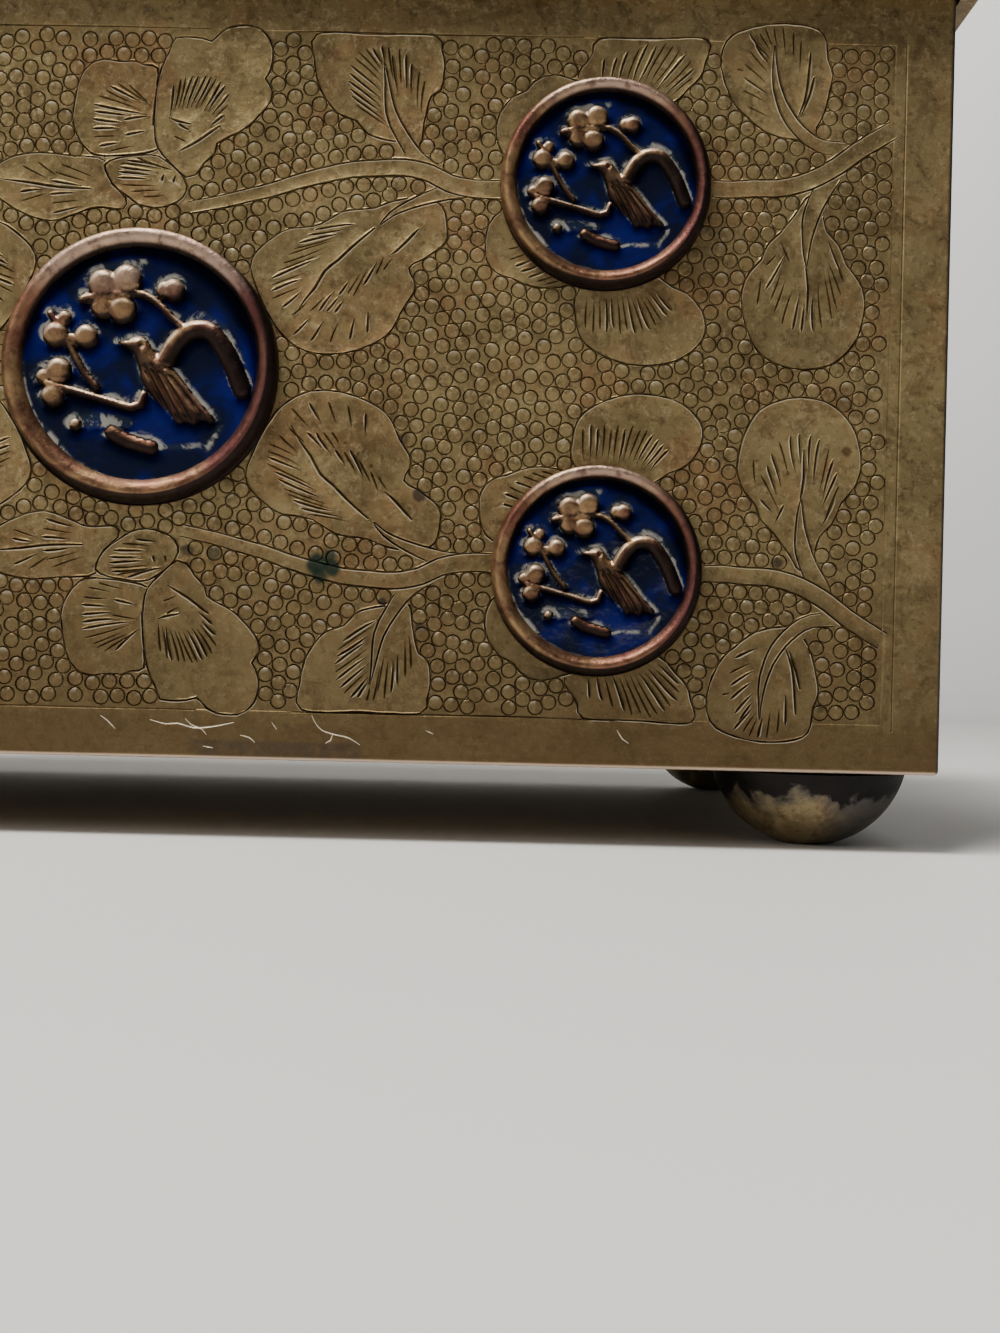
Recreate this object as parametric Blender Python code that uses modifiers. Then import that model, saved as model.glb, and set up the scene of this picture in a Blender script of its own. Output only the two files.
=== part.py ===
"""Chased brass box with enamelled copper medallions, on four dome feet, with a lift-off lid.

Metres, +Z up. The origin is the middle of the footprint, on the surface that the feet stand on.
The front wall faces -Y. Run it with: blender --background --python part.py
"""

import math

import bmesh
import bpy
from mathutils import Matrix, Vector

# Driving dimensions of the box
BOX_WIDTH = 0.166
BOX_DEPTH = 0.106
FACE_HEIGHT = 0.080
WALL = 0.0015
CORNER_BEVEL = 0.0006

# The slip-over lid
LID_THICKNESS = 0.0018
LID_CLEARANCE = 0.0005
SKIRT_DEPTH = 0.012
LID_BEVEL = 0.0012

# The dome feet, each a slice off a ball
FOOT_BALL_RADIUS = 0.0107
FOOT_HEIGHT = 0.0082
FOOT_FLAT_RADIUS = 0.0025
FOOT_FROM_SIDE = 0.0115
FOOT_FROM_FRONT = 0.0115
FOOT_SEGMENTS = 16
FOOT_RINGS = 3

# Chased panels: the ring-punched ground lies lower than the leaves, which lie just under the border
BORDER = 0.0050
GROUND_DEPTH = 0.0003
LEAF_DROP = 0.00005

# Medallions: a stamped copper cup with a rounded rim, enamel in it, and a bird and blossoms in copper
SMALL_RADIUS = 0.01085
SMALL_RIM = 0.0020
LARGE_RADIUS = 0.0142
LARGE_RIM = 0.0024
MEDALLION_FROM_SIDE = 0.0357
MEDALLION_FROM_EDGE = 0.0202
MEDALLION_PROUD = 0.0021
CUP_FLOOR = 0.0004
ENAMEL_TOP = 0.0013
FIGURE_TOP = 0.0018
RIM_SEGMENTS = 20

# Pieces that touch or nest keep this gap
GAP = 0.0003

# A drawing of a quarter of the chased pattern, in its own units: x runs from the panel's centre line to
# its side, y from its edge to its middle. A panel of another size stretches it.
DRAWING_WIDTH = 83.0
DRAWING_HEIGHT = 40.2
LEAVES = {
    "broad_leaf": [(24.2, 23.7), (16.5, 25.2), (11.3, 29.2), (13.4, 35.2), (20.4, 38.0), (26.9, 33.6),
                   (31.2, 26.0), (31.0, 22.6)],
    "fan_leaf": [(26.8, 16.4), (20.8, 14.2), (17.5, 9.8), (17.4, 5.5), (29.5, 5.5), (30.2, 8.4), (28.2, 15.6)],
    "collar_upper": [(37.8, 24.0), (35.0, 26.6), (36.0, 29.3), (41.2, 31.0), (45.0, 30.4), (45.0, 24.0)],
    "collar_lower": [(37.5, 18.0), (35.9, 15.2), (38.4, 11.4), (41.3, 8.9), (46.0, 10.2), (45.0, 18.0)],
    "skirt_leaf": [(46.0, 11.5), (44.6, 8.6), (46.4, 5.5), (57.3, 5.5), (57.0, 8.4), (54.0, 12.5)],
    "crest_leaf": [(46.0, 29.0), (44.4, 34.0), (50.0, 38.4), (57.6, 35.0), (56.8, 31.8), (52.0, 28.5)],
    "tall_leaf": [(68.0, 21.0), (63.2, 27.4), (62.0, 34.2), (66.0, 38.6), (72.0, 37.6), (74.0, 32.0),
                  (69.9, 21.4)],
    "corner_leaf": [(67.4, 15.3), (62.4, 13.2), (59.2, 8.6), (59.4, 5.5), (69.9, 5.5), (70.2, 10.5)],
}
CENTRE_FLOWER = [(1.2, 9.6), (1.9, 7.2), (9.4, 5.4), (12.9, 7.0), (12.4, 12.4), (4.2, 20.6), (0.0, 23.1),
                 (-6.6, 17.0), (-7.1, 10.6), (-4.6, 8.6)]
BRANCHES = {
    "long_branch": ([(2.5, 22.9), (10.0, 22.4), (24.0, 18.9), (37.5, 21.0)], 1.8),
    "leaf_stalk": ([(23.5, 24.6), (29.0, 22.2), (37.5, 21.2)], 1.5),
    "fan_stalk": ([(31.0, 20.6), (26.6, 15.6)], 1.6),
    "side_branch": ([(57.5, 20.3), (69.0, 18.9), (76.4, 15.0)], 2.0),
    "tall_stalk": ([(71.0, 17.9), (68.8, 22.6)], 2.0),
    "corner_stalk": ([(72.2, 16.4), (66.6, 14.0)], 1.4),
}
LID_LEAVES = ("broad_leaf", "tall_leaf", "corner_leaf")
LID_BRANCHES = ("long_branch", "leaf_stalk", "side_branch")
BLOSSOM_PLACE = (47.7, 20.2)
BLOSSOM_SIZE = 8.0

# The medallion's figures, as shares of its radius, the bird facing left
BIRD = [(-0.18, 0.16), (0.02, 0.22), (0.30, -0.04), (0.62, -0.42), (0.50, -0.52), (0.06, -0.30), (-0.02, -0.04)]
TRUNK = [(0.90, -0.14), (0.70, 0.12), (0.44, 0.32), (0.22, 0.06)]
TRUNK_WIDTH = 0.15
TWIGS = [
    [(0.42, 0.32), (-0.30, 0.48)],
    [(0.04, -0.26), (-0.28, -0.22), (-0.70, -0.12)],
    [(-0.28, -0.22), (-0.56, 0.30)],
]
TWIG_WIDTH = 0.07
BLOSSOMS = [(-0.20, 0.52, 0.20, 4), (-0.51, 0.24, 0.18, 3), (-0.62, -0.14, 0.16, 3)]
GROUND_ROCK = [(-0.46, -0.46), (-0.12, -0.40), (0.12, -0.54), (-0.14, -0.62)]

BRASS = (0.165, 0.115, 0.050)
BRASS_PLAIN = (0.150, 0.105, 0.048)
COPPER = (0.250, 0.095, 0.045)
ENAMEL_BLUE = (0.006, 0.016, 0.120)

BODY_BOTTOM = FOOT_HEIGHT
FACE_TOP = BODY_BOTTOM + FACE_HEIGHT
RIM_Z = FACE_TOP + SKIRT_DEPTH
LID_UNDERSIDE = RIM_Z + GAP
LID_TOP = LID_UNDERSIDE + LID_THICKNESS
LID_OVERHANG = LID_CLEARANCE + LID_THICKNESS
LID_WIDTH = BOX_WIDTH + 2 * LID_OVERHANG
LID_DEPTH = BOX_DEPTH + 2 * LID_OVERHANG
OVERSHOOT = 0.001


def material(name, colour, metallic, roughness):
    """A Principled material, made once for each name."""
    found = bpy.data.materials.get(name)
    if found:
        return found
    made = bpy.data.materials.new(name)
    made.use_nodes = True
    shader = made.node_tree.nodes["Principled BSDF"]
    shader.inputs["Base Color"].default_value = (*colour, 1.0)
    shader.inputs["Metallic"].default_value = metallic
    shader.inputs["Roughness"].default_value = roughness
    return made


def link(obj, collection):
    """Puts a new object in one collection."""
    collection.objects.link(obj)
    return obj


def as_cutter(obj):
    """Marks an object that only cuts or joins others."""
    obj.hide_render = True
    obj.display_type = "WIRE"
    return obj


def block(name, low, high, collection):
    """A box between two corners, from a cube primitive."""
    mesh = bpy.data.meshes.new(name)
    shape = bmesh.new()
    bmesh.ops.create_cube(shape, size=1.0)
    size = Vector(high) - Vector(low)
    bmesh.ops.scale(shape, vec=size, verts=shape.verts)
    bmesh.ops.translate(shape, vec=(Vector(high) + Vector(low)) / 2, verts=shape.verts)
    shape.to_mesh(mesh)
    shape.free()
    return link(bpy.data.objects.new(name, mesh), collection)


def prism(name, outline, low, high, collection):
    """A flat outline, extruded along Z from low to high, as a closed mesh."""
    curve = bpy.data.curves.new(name, "CURVE")
    curve.dimensions = "2D"
    curve.fill_mode = "BOTH"
    curve.extrude = (high - low) / 2
    spline = curve.splines.new("POLY")
    spline.points.add(len(outline) - 1)
    for point, (x, y) in zip(spline.points, outline):
        point.co = (x, y, 0.0, 1.0)
    spline.use_cyclic_u = True
    drawn = link(bpy.data.objects.new(name, curve), collection)
    drawn.location.z = (high + low) / 2
    bpy.context.view_layer.update()
    mesh = bpy.data.meshes.new_from_object(drawn.evaluated_get(bpy.context.evaluated_depsgraph_get()))
    shape = bmesh.new()
    shape.from_mesh(mesh)
    bmesh.ops.remove_doubles(shape, verts=shape.verts, dist=1e-7)
    bmesh.ops.dissolve_limit(shape, angle_limit=math.radians(0.5), verts=shape.verts, edges=shape.edges)
    bmesh.ops.recalc_face_normals(shape, faces=shape.faces)
    shape.to_mesh(mesh)
    shape.free()
    solid = link(bpy.data.objects.new(name, mesh), collection)
    solid.matrix_world = drawn.matrix_world
    bpy.data.objects.remove(drawn)
    bpy.data.curves.remove(curve)
    return solid


def boolean(obj, operation, others):
    """Cuts or joins a collection of closed meshes with an object's mesh, and applies it."""
    modifier = obj.modifiers.new(operation.title(), "BOOLEAN")
    modifier.operation = operation
    modifier.solver = "EXACT"
    modifier.operand_type = "COLLECTION"
    modifier.collection = others
    bake(obj)


def bake(obj):
    """Replaces an object's mesh with what its modifiers make of it."""
    bpy.context.view_layer.update()
    graph = bpy.context.evaluated_depsgraph_get()
    obj.data = bpy.data.meshes.new_from_object(obj.evaluated_get(graph))
    obj.modifiers.clear()


def gathered(name, objects, parent):
    """A collection of cutters under the cutters' own collection."""
    group = bpy.data.collections.new(name)
    parent.children.link(group)
    for obj in objects:
        for home in list(obj.users_collection):
            home.objects.unlink(obj)
        group.objects.link(as_cutter(obj))
    return group


def ribbon(points, width):
    """The outline of a branch: its centre line given a width that tapers to the tip."""
    line = [Vector(p) for p in points]
    left, right = [], []
    for i, point in enumerate(line):
        along = (line[min(i + 1, len(line) - 1)] - line[max(i - 1, 0)]).normalized()
        side = Vector((-along.y, along.x)) * width / 2 * (1.0 - 0.35 * i / (len(line) - 1))
        left.append(point + side)
        right.append(point - side)
    return [tuple(p) for p in left + right[::-1]]


def blossom(x, y, size, petals, crown=((0.0, 0.5), (0.5, 1.0))):
    """The outline of a flower: a notch and a crown for each petal, as shares of its turn and its reach."""
    petals = round(petals)
    outline = []
    for petal in range(petals):
        for share, reach in crown:
            angle = 2 * math.pi * (petal + share) / petals + 0.4
            outline.append((x + size * reach * math.cos(angle), y + size * reach * math.sin(angle)))
    return outline


def grown(outline, amount):
    """An outline pushed outwards by an amount, for a cutter that leaves a gap."""
    if not amount:
        return outline
    points = [Vector(p) for p in outline]
    area = sum(a.cross(b) for a, b in zip(points, points[1:] + points[:1]))
    turn = 1 if area > 0 else -1
    moved = []
    for i, point in enumerate(points):
        before = (point - points[i - 1]).normalized()
        after = (points[(i + 1) % len(points)] - point).normalized()
        normal = Vector((before.y + after.y, -before.x - after.x)) * turn
        normal = normal.normalized() if normal.length > 1e-9 else Vector((after.y, -after.x)) * turn
        moved.append(tuple(point + normal * amount))
    return moved


def figure_outlines(radius, with_bird):
    """The copper figures of a medallion: trunk, twigs, blossoms, bud, bird and rock."""
    def sized(points):
        return [(x * radius, y * radius) for x, y in points]

    outlines = [ribbon(sized(twig), TWIG_WIDTH * radius) for twig in TWIGS]
    outlines.append(ribbon(sized(TRUNK), TRUNK_WIDTH * radius))
    outlines += [blossom(x * radius, y * radius, size * radius, petals) for x, y, size, petals in BLOSSOMS]
    if with_bird:
        outlines.append(sized(BIRD))
        outlines.append(sized(GROUND_ROCK))
    return outlines


def rim_profile(radius, rim):
    """The cup's section, from its underside's centre to its floor's centre, at +X."""
    inner = radius - rim
    return [
        (0.0, GAP),
        (radius, GAP),
        (radius - 0.15 * rim, 0.7 * MEDALLION_PROUD),
        (radius - 0.50 * rim, MEDALLION_PROUD),
        (radius - 0.90 * rim, 0.8 * MEDALLION_PROUD),
        (inner, CUP_FLOOR + GAP),
        (0.0, CUP_FLOOR + GAP),
    ]


def turned(name, profile, segments, collection):
    """A solid of revolution about Z, from a profile that starts and ends on the axis."""
    mesh = bpy.data.meshes.new(name)
    shape = bmesh.new()
    points = [shape.verts.new((x, 0.0, z)) for x, z in reversed(profile)]
    for a, b in zip(points, points[1:]):
        shape.edges.new((a, b))
    shape.to_mesh(mesh)
    shape.free()
    obj = link(bpy.data.objects.new(name, mesh), collection)
    screw = obj.modifiers.new("Turn", "SCREW")
    screw.axis = "Z"
    screw.steps = screw.render_steps = segments
    screw.use_merge_vertices = True
    screw.merge_threshold = 0.00001
    bake(obj)
    return obj


def medallion_meshes(name, radius, rim, segments, with_bird, work):
    """The copper and the enamel of one kind of medallion, facing +Z, as two meshes."""
    top = FIGURE_TOP + GAP
    outlines = figure_outlines(radius - 0.4 * rim, with_bird)
    inside = radius - rim + 0.3 * rim
    copper = turned(name + "_copper", rim_profile(radius, rim), segments, work)
    figures = [prism(f"{name}_figure_{i}", line, 0.5 * CUP_FLOOR + GAP, top, work) for i, line in enumerate(outlines)]
    boolean(copper, "UNION", gathered(name + "_figures", figures, work))
    enamel = turned(
        name + "_enamel",
        [(0.0, CUP_FLOOR + 2 * GAP), (radius - rim - GAP, CUP_FLOOR + 2 * GAP),
         (radius - rim - GAP, ENAMEL_TOP), (0.0, ENAMEL_TOP)],
        segments, work,
    )
    holes = [
        prism(f"{name}_hole_{i}", grown(line, GAP), 0.0, top + GAP, work) for i, line in enumerate(outlines)
    ]
    boolean(enamel, "DIFFERENCE", gathered(name + "_holes", holes, work))
    for obj in (copper, enamel):
        obj.hide_render = True
    return copper.data, enamel.data


def place_medallion(name, meshes, facing, shown):
    """A medallion's two nodes, where a matrix puts them."""
    copper, enamel = meshes
    for suffix, mesh, look in (
        ("_copper", copper, material("copper", COPPER, 1.0, 0.38)),
        ("_enamel", enamel, material("enamel", ENAMEL_BLUE, 0.0, 0.12)),
    ):
        obj = link(bpy.data.objects.new(name + suffix, mesh), shown)
        if not mesh.materials:
            mesh.materials.append(look)
        obj.matrix_world = facing


def facing_matrix(origin, right, up):
    """Puts a flat drawing on a face: its x along right, its y along up, its z outwards."""
    right, up = Vector(right), Vector(up)
    turned_axes = Matrix((right, up, right.cross(up))).transposed().to_4x4()
    return Matrix.Translation(origin) @ turned_axes


FRONT = facing_matrix((0, -BOX_DEPTH / 2, BODY_BOTTOM + FACE_HEIGHT / 2), (1, 0, 0), (0, 0, 1))
RIGHT = facing_matrix((BOX_WIDTH / 2, 0, BODY_BOTTOM + FACE_HEIGHT / 2), (0, 1, 0), (0, 0, 1))
LEFT = facing_matrix((-BOX_WIDTH / 2, 0, BODY_BOTTOM + FACE_HEIGHT / 2), (0, -1, 0), (0, 0, 1))
BACK = facing_matrix((0, BOX_DEPTH / 2, BODY_BOTTOM + FACE_HEIGHT / 2), (-1, 0, 0), (0, 0, 1))
TOP = facing_matrix((0, 0, LID_TOP), (1, 0, 0), (0, 1, 0))


def quarters(outline, width, height):
    """A quarter drawing's outline, stretched to the panel and repeated in its four quarters."""
    copies = []
    for side in (1, -1):
        for down in (1, -1):
            copies.append([
                (side * x * width / 2 / DRAWING_WIDTH, -down * (1 - y / DRAWING_HEIGHT) * height / 2)
                for x, y in outline
            ])
    return copies


def scroll_outlines(width, height, leaves, branches):
    """The leaves, branches and centre flowers of a panel, in metres from its centre."""
    outlines = []
    for name in leaves:
        outlines += quarters(LEAVES[name], width, height)
    for name in branches:
        points, thickness = BRANCHES[name]
        outlines += quarters(ribbon(points, thickness), width, height)
    flowers_at_both_edges = quarters(CENTRE_FLOWER, width, height)[:2]
    return outlines + flowers_at_both_edges


def end_outlines(width, height):
    """The plainer pattern of an end wall: four leaves about the medallion and a branch to each side."""
    reach_x, reach_y = width / 2 - BORDER, height / 2 - BORDER
    outlines = []
    for side in (1, -1):
        for down in (1, -1):
            leaf = [(0.20, 0.30), (0.36, 0.74), (0.66, 0.92), (0.92, 0.76), (0.76, 0.38), (0.44, 0.20)]
            outlines.append([(side * x * reach_x, down * y * reach_y) for x, y in leaf])
        outlines.append(ribbon([(side * 0.15 * reach_x, 0), (side * 0.93 * reach_x, 0.0)], 0.0024))
    return outlines


def panel_parts(name, facing, width, height, outlines, seats, work):
    """A panel's pocket, the leaves that stand in it, and the medallions' seats, as closed meshes."""
    pocket = block(name + "_ground", (-width / 2 + BORDER, -height / 2 + BORDER, -GROUND_DEPTH),
                   (width / 2 - BORDER, height / 2 - BORDER, OVERSHOOT), work)
    leaves = [
        prism(f"{name}_leaf_{i}", line, -2 * GROUND_DEPTH, -LEAF_DROP, work) for i, line in enumerate(outlines)
    ]
    cups = []
    for i, (x, y, radius) in enumerate(seats):
        cup = turned(f"{name}_seat_{i}", [(0.0, -GROUND_DEPTH), (radius + GAP, -GROUND_DEPTH),
                                          (radius + GAP, OVERSHOOT), (0.0, OVERSHOOT)], RIM_SEGMENTS, work)
        cup.data.transform(Matrix.Translation((x, y, 0)))
        cups.append(cup)
    for obj in (pocket, *leaves, *cups):
        obj.data.transform(facing @ obj.matrix_world)
        obj.matrix_world = Matrix.Identity(4)
    return [pocket], leaves, cups


def front_places():
    """Where the front's medallions sit, from the panel's centre: four small ones and the large one."""
    x = BOX_WIDTH / 2 - MEDALLION_FROM_SIDE
    y = FACE_HEIGHT / 2 - MEDALLION_FROM_EDGE
    small = {
        "front_lower_right": (x, -y), "front_lower_left": (-x, -y),
        "front_upper_right": (x, y), "front_upper_left": (-x, y),
    }
    return small


def bevelled(obj, width, edges_along, segments=1):
    """Rounds the outer edges that run along the axes asked for."""
    shape = bmesh.new()
    shape.from_mesh(obj.data)
    picked = []
    for edge in shape.edges:
        along = (edge.verts[1].co - edge.verts[0].co).normalized()
        middle = (edge.verts[1].co + edge.verts[0].co) / 2
        if edges_along(along, middle):
            picked.append(edge)
    bmesh.ops.bevel(shape, geom=picked, offset=width, segments=segments, profile=0.5, affect="EDGES")
    shape.to_mesh(obj.data)
    shape.free()


def chase(obj, hollow, panels, work):
    """Hollows a block, sinks its panels' grounds, raises their leaves and clears their medallions' seats."""
    pockets, leaves, seats = [], [], []
    for panel in panels:
        pockets += panel[0]
        leaves += panel[1]
        seats += panel[2]
    boolean(obj, "DIFFERENCE", gathered(obj.name + "_pockets", [hollow, *pockets], work))
    boolean(obj, "UNION", gathered(obj.name + "_leaves", leaves, work))
    boolean(obj, "DIFFERENCE", gathered(obj.name + "_seats", seats, work))


def make_body(shown, work):
    """Floor and four walls of sheet brass, open above, with the chased panels on the outside."""
    half_x, half_y = BOX_WIDTH / 2, BOX_DEPTH / 2
    body = block("box_body", (-half_x, -half_y, BODY_BOTTOM), (half_x, half_y, RIM_Z), shown)
    bevelled(body, CORNER_BEVEL, lambda along, middle: abs(along.z) > 0.9 or middle.z < BODY_BOTTOM + OVERSHOOT)
    hollow = block("body_hollow", (-half_x + WALL, -half_y + WALL, BODY_BOTTOM + WALL),
                   (half_x - WALL, half_y - WALL, RIM_Z + OVERSHOOT), work)
    small = [(*place, SMALL_RADIUS) for place in front_places().values()]
    panels = [panel_parts("front", FRONT, BOX_WIDTH, FACE_HEIGHT,
                          scroll_outlines(BOX_WIDTH, FACE_HEIGHT, LEAVES, BRANCHES),
                          [(0, 0, LARGE_RADIUS), *small], work)]
    for name, facing in (("right_end", RIGHT), ("left_end", LEFT)):
        panels.append(panel_parts(name, facing, BOX_DEPTH, FACE_HEIGHT, end_outlines(BOX_DEPTH, FACE_HEIGHT),
                                  [(0, 0, SMALL_RADIUS)], work))
    chase(body, hollow, panels, work)
    body.data.materials.append(material("brass", BRASS, 1.0, 0.42))
    return body


def make_lid(shown, work):
    """A flat lid with a skirt that slips over the body's rim."""
    half_x, half_y = LID_WIDTH / 2, LID_DEPTH / 2
    lid = block("lid", (-half_x, -half_y, FACE_TOP), (half_x, half_y, LID_TOP), shown)
    bevelled(lid, LID_BEVEL, lambda along, middle: abs(along.z) > 0.9 or middle.z > LID_TOP - OVERSHOOT, 2)
    hollow = block("lid_hollow", (-half_x + LID_THICKNESS, -half_y + LID_THICKNESS, FACE_TOP - OVERSHOOT),
                   (half_x - LID_THICKNESS, half_y - LID_THICKNESS, LID_UNDERSIDE), work)
    outlines = scroll_outlines(LID_WIDTH, LID_DEPTH, LID_LEAVES, LID_BRANCHES)
    x, y = BLOSSOM_PLACE
    outlines += quarters(blossom(x, y, BLOSSOM_SIZE, 5), LID_WIDTH, LID_DEPTH)
    top = panel_parts("lid_top", TOP, LID_WIDTH, LID_DEPTH, outlines, [(0, 0, LARGE_RADIUS)], work)
    chase(lid, hollow, [top], work)
    lid.data.materials.append(material("brass_lid", BRASS_PLAIN, 1.0, 0.42))
    return lid


def foot_profile():
    """A dome's section from its flat underside to its top, at +X."""
    top = FOOT_HEIGHT - GAP
    profile = [(0.0, 0.0), (FOOT_FLAT_RADIUS, 0.0)]
    start = math.asin(FOOT_FLAT_RADIUS / FOOT_BALL_RADIUS)
    middle = FOOT_BALL_RADIUS * math.cos(start)
    end = math.acos((middle - top) / FOOT_BALL_RADIUS)
    for ring in range(1, FOOT_RINGS + 1):
        angle = start + (end - start) * ring / FOOT_RINGS
        profile.append((FOOT_BALL_RADIUS * math.sin(angle), middle - FOOT_BALL_RADIUS * math.cos(angle)))
    return profile + [(0.0, top)]


def make_feet(shown):
    """Four dome feet, each under a corner of the body."""
    x = BOX_WIDTH / 2 - FOOT_FROM_SIDE
    y = BOX_DEPTH / 2 - FOOT_FROM_FRONT
    mesh = None
    for name, place in (("foot_front_left", (-x, -y)), ("foot_front_right", (x, -y)),
                        ("foot_back_left", (-x, y)), ("foot_back_right", (x, y))):
        if mesh is None:
            foot = turned(name, foot_profile(), FOOT_SEGMENTS, shown)
            foot.data.shade_smooth()
            foot.data.set_sharp_from_angle(angle=math.radians(50))
            foot.data.materials.append(material("brass_feet", BRASS, 1.0, 0.32))
            mesh = foot.data
        else:
            foot = link(bpy.data.objects.new(name, mesh), shown)
        foot.location = (*place, 0.0)


def main():
    for obj in list(bpy.data.objects):
        bpy.data.objects.remove(obj)
    scene = bpy.context.scene.collection
    shown = bpy.data.collections.new("enamel_medallion_box")
    work = bpy.data.collections.new("cutters")
    scene.children.link(shown)
    scene.children.link(work)
    work.hide_render = True
    make_body(shown, work)
    make_lid(shown, work)
    make_feet(shown)
    small = medallion_meshes("small", SMALL_RADIUS, SMALL_RIM, RIM_SEGMENTS, True, work)
    large = medallion_meshes("large", LARGE_RADIUS, LARGE_RIM, RIM_SEGMENTS, True, work)
    end = medallion_meshes("end", SMALL_RADIUS, SMALL_RIM, RIM_SEGMENTS, False, work)
    seat = Matrix.Translation((0, 0, -GROUND_DEPTH))
    place_medallion("medallion_front_centre", large, FRONT @ seat, shown)
    for name, (x, y) in front_places().items():
        place_medallion("medallion_" + name, small, FRONT @ Matrix.Translation((x, y, 0)) @ seat, shown)
    place_medallion("medallion_right_end", end, RIGHT @ seat, shown)
    place_medallion("medallion_left_end", end, LEFT @ seat, shown)
    place_medallion("medallion_lid", large, TOP @ seat, shown)


main()
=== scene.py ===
"""Looks of the chased brass box with enamelled copper medallions.

A drawing on a panel is in millimetres: u to the right and v upwards from the panel's middle, and depth
into the metal. The front wall faces -Y.
"""

import math
import random

import bmesh
import bpy
import numpy as np
from mathutils import Matrix, Vector
from mathutils.geometry import delaunay_2d_cdt


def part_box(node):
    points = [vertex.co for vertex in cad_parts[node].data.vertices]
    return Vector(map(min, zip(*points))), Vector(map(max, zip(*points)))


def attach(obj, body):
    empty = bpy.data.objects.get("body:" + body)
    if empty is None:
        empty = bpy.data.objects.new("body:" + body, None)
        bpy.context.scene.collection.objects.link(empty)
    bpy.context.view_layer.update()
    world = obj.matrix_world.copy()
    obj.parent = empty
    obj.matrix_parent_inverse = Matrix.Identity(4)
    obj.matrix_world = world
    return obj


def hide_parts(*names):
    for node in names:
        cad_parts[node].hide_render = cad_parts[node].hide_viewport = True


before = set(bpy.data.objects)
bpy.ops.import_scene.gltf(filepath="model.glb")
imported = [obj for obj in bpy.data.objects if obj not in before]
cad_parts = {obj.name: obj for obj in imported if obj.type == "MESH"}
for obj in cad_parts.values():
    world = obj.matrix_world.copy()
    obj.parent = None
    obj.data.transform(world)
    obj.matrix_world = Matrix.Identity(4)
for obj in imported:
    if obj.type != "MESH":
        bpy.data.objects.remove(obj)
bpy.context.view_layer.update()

MM = 0.001
DRAW = random.Random(11)
X, Y, Z = (1, 0, 0), (0, 1, 0), (0, 0, 1)
LEFTWARDS, FORWARDS = (-1, 0, 0), (0, -1, 0)

# The solids' own sizes, in millimetres
BODY_LOW, BODY_HIGH = (np.array(corner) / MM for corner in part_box("box_body"))
LID_LOW, LID_HIGH = (np.array(corner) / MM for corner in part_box("lid"))
HALF_W, HALF_D = BODY_HIGH[0], BODY_HIGH[1]
BODY_Z, RIM_Z = BODY_LOW[2], BODY_HIGH[2]
FACE_TOP = LID_LOW[2]
FACE_H = FACE_TOP - BODY_Z
FACE_MID = BODY_Z + FACE_H / 2
LID_HALF_W, LID_HALF_D, LID_Z = LID_HIGH
WALL, FRONT_ROUND = 1.5, 0.5
LID_WALL, LID_ROUND = 1.8, 1.2
SMALL_R, LARGE_R = 10.85, 14.2
SMALL_FROM_SIDE, SMALL_FROM_EDGE = 35.7, 20.2
SMALL_U, SMALL_V = HALF_W - SMALL_FROM_SIDE, FACE_H / 2 - SMALL_FROM_EDGE
FOOT_BALL, FOOT_FLAT = 10.7, 2.5

# The plain border's width, how far from the front's sides its rings start, and the ground's and the
# leaves' depth below the border
BORDER, RINGS_FROM_SIDE = 5.0, 6.1
GROUND, LEAF = 0.06, 0.03

# The lower right quarter of the chased pattern. x runs from the panel's centre line to its side and
# y from its lower edge to its middle.
DRAWING_W, DRAWING_H = 83.0, 40.2
STEMS = [
    ([(4.6, 23.5), (8, 22.8), (11, 22.0), (13, 21.5), (15.6, 20.6), (18.5, 19.8), (21.2, 19.2),
      (23.5, 19.0), (26.6, 18.85), (29.3, 19.4), (31.3, 20.4), (34, 20.9), (36.8, 20.9)],
      (1.2, 1.6, 1.9)),
    ([(58.4, 20.3), (60.4, 20.35), (62.6, 20.15), (65, 20.1), (67.3, 19.6), (69.2, 18.8), (71.2, 17.6),
      (73, 16.2), (75, 14.9), (76.8, 13.8)], (1.7, 1.8, 1.8)),
    ([(24.3, 24.8), (25.4, 23.7), (27.2, 22.7), (30.1, 21.6), (33, 21.0), (36.8, 20.9)], (0.1, 1.4, 1.9)),
    ([(30, 19.4), (28.3, 18.3), (27.2, 17.0), (26.3, 15.6), (25.6, 14.4), (25.1, 13.2), (24.8, 11.6),
      (24.6, 10.0), (24.3, 8.1)], (1.8, 1.2, 0.05)),
    ([(70.6, 18.6), (69.5, 20.5), (68.75, 22.2), (68.35, 23.7), (68.15, 25.4), (68.1, 26.6),
      (68.15, 28.2)], (2.0, 1.6, 0.05)),
    ([(71.8, 15.9), (70.5, 15.8), (69.6, 15.7), (68.6, 15.3), (67.1, 14.1), (66.0, 12.75), (65.2, 11.2),
      (64.75, 9.8), (64.5, 8.2), (64.4, 6.6), (64.4, 5.4)], (1.4, 1.2, 0.1)),
]
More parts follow.
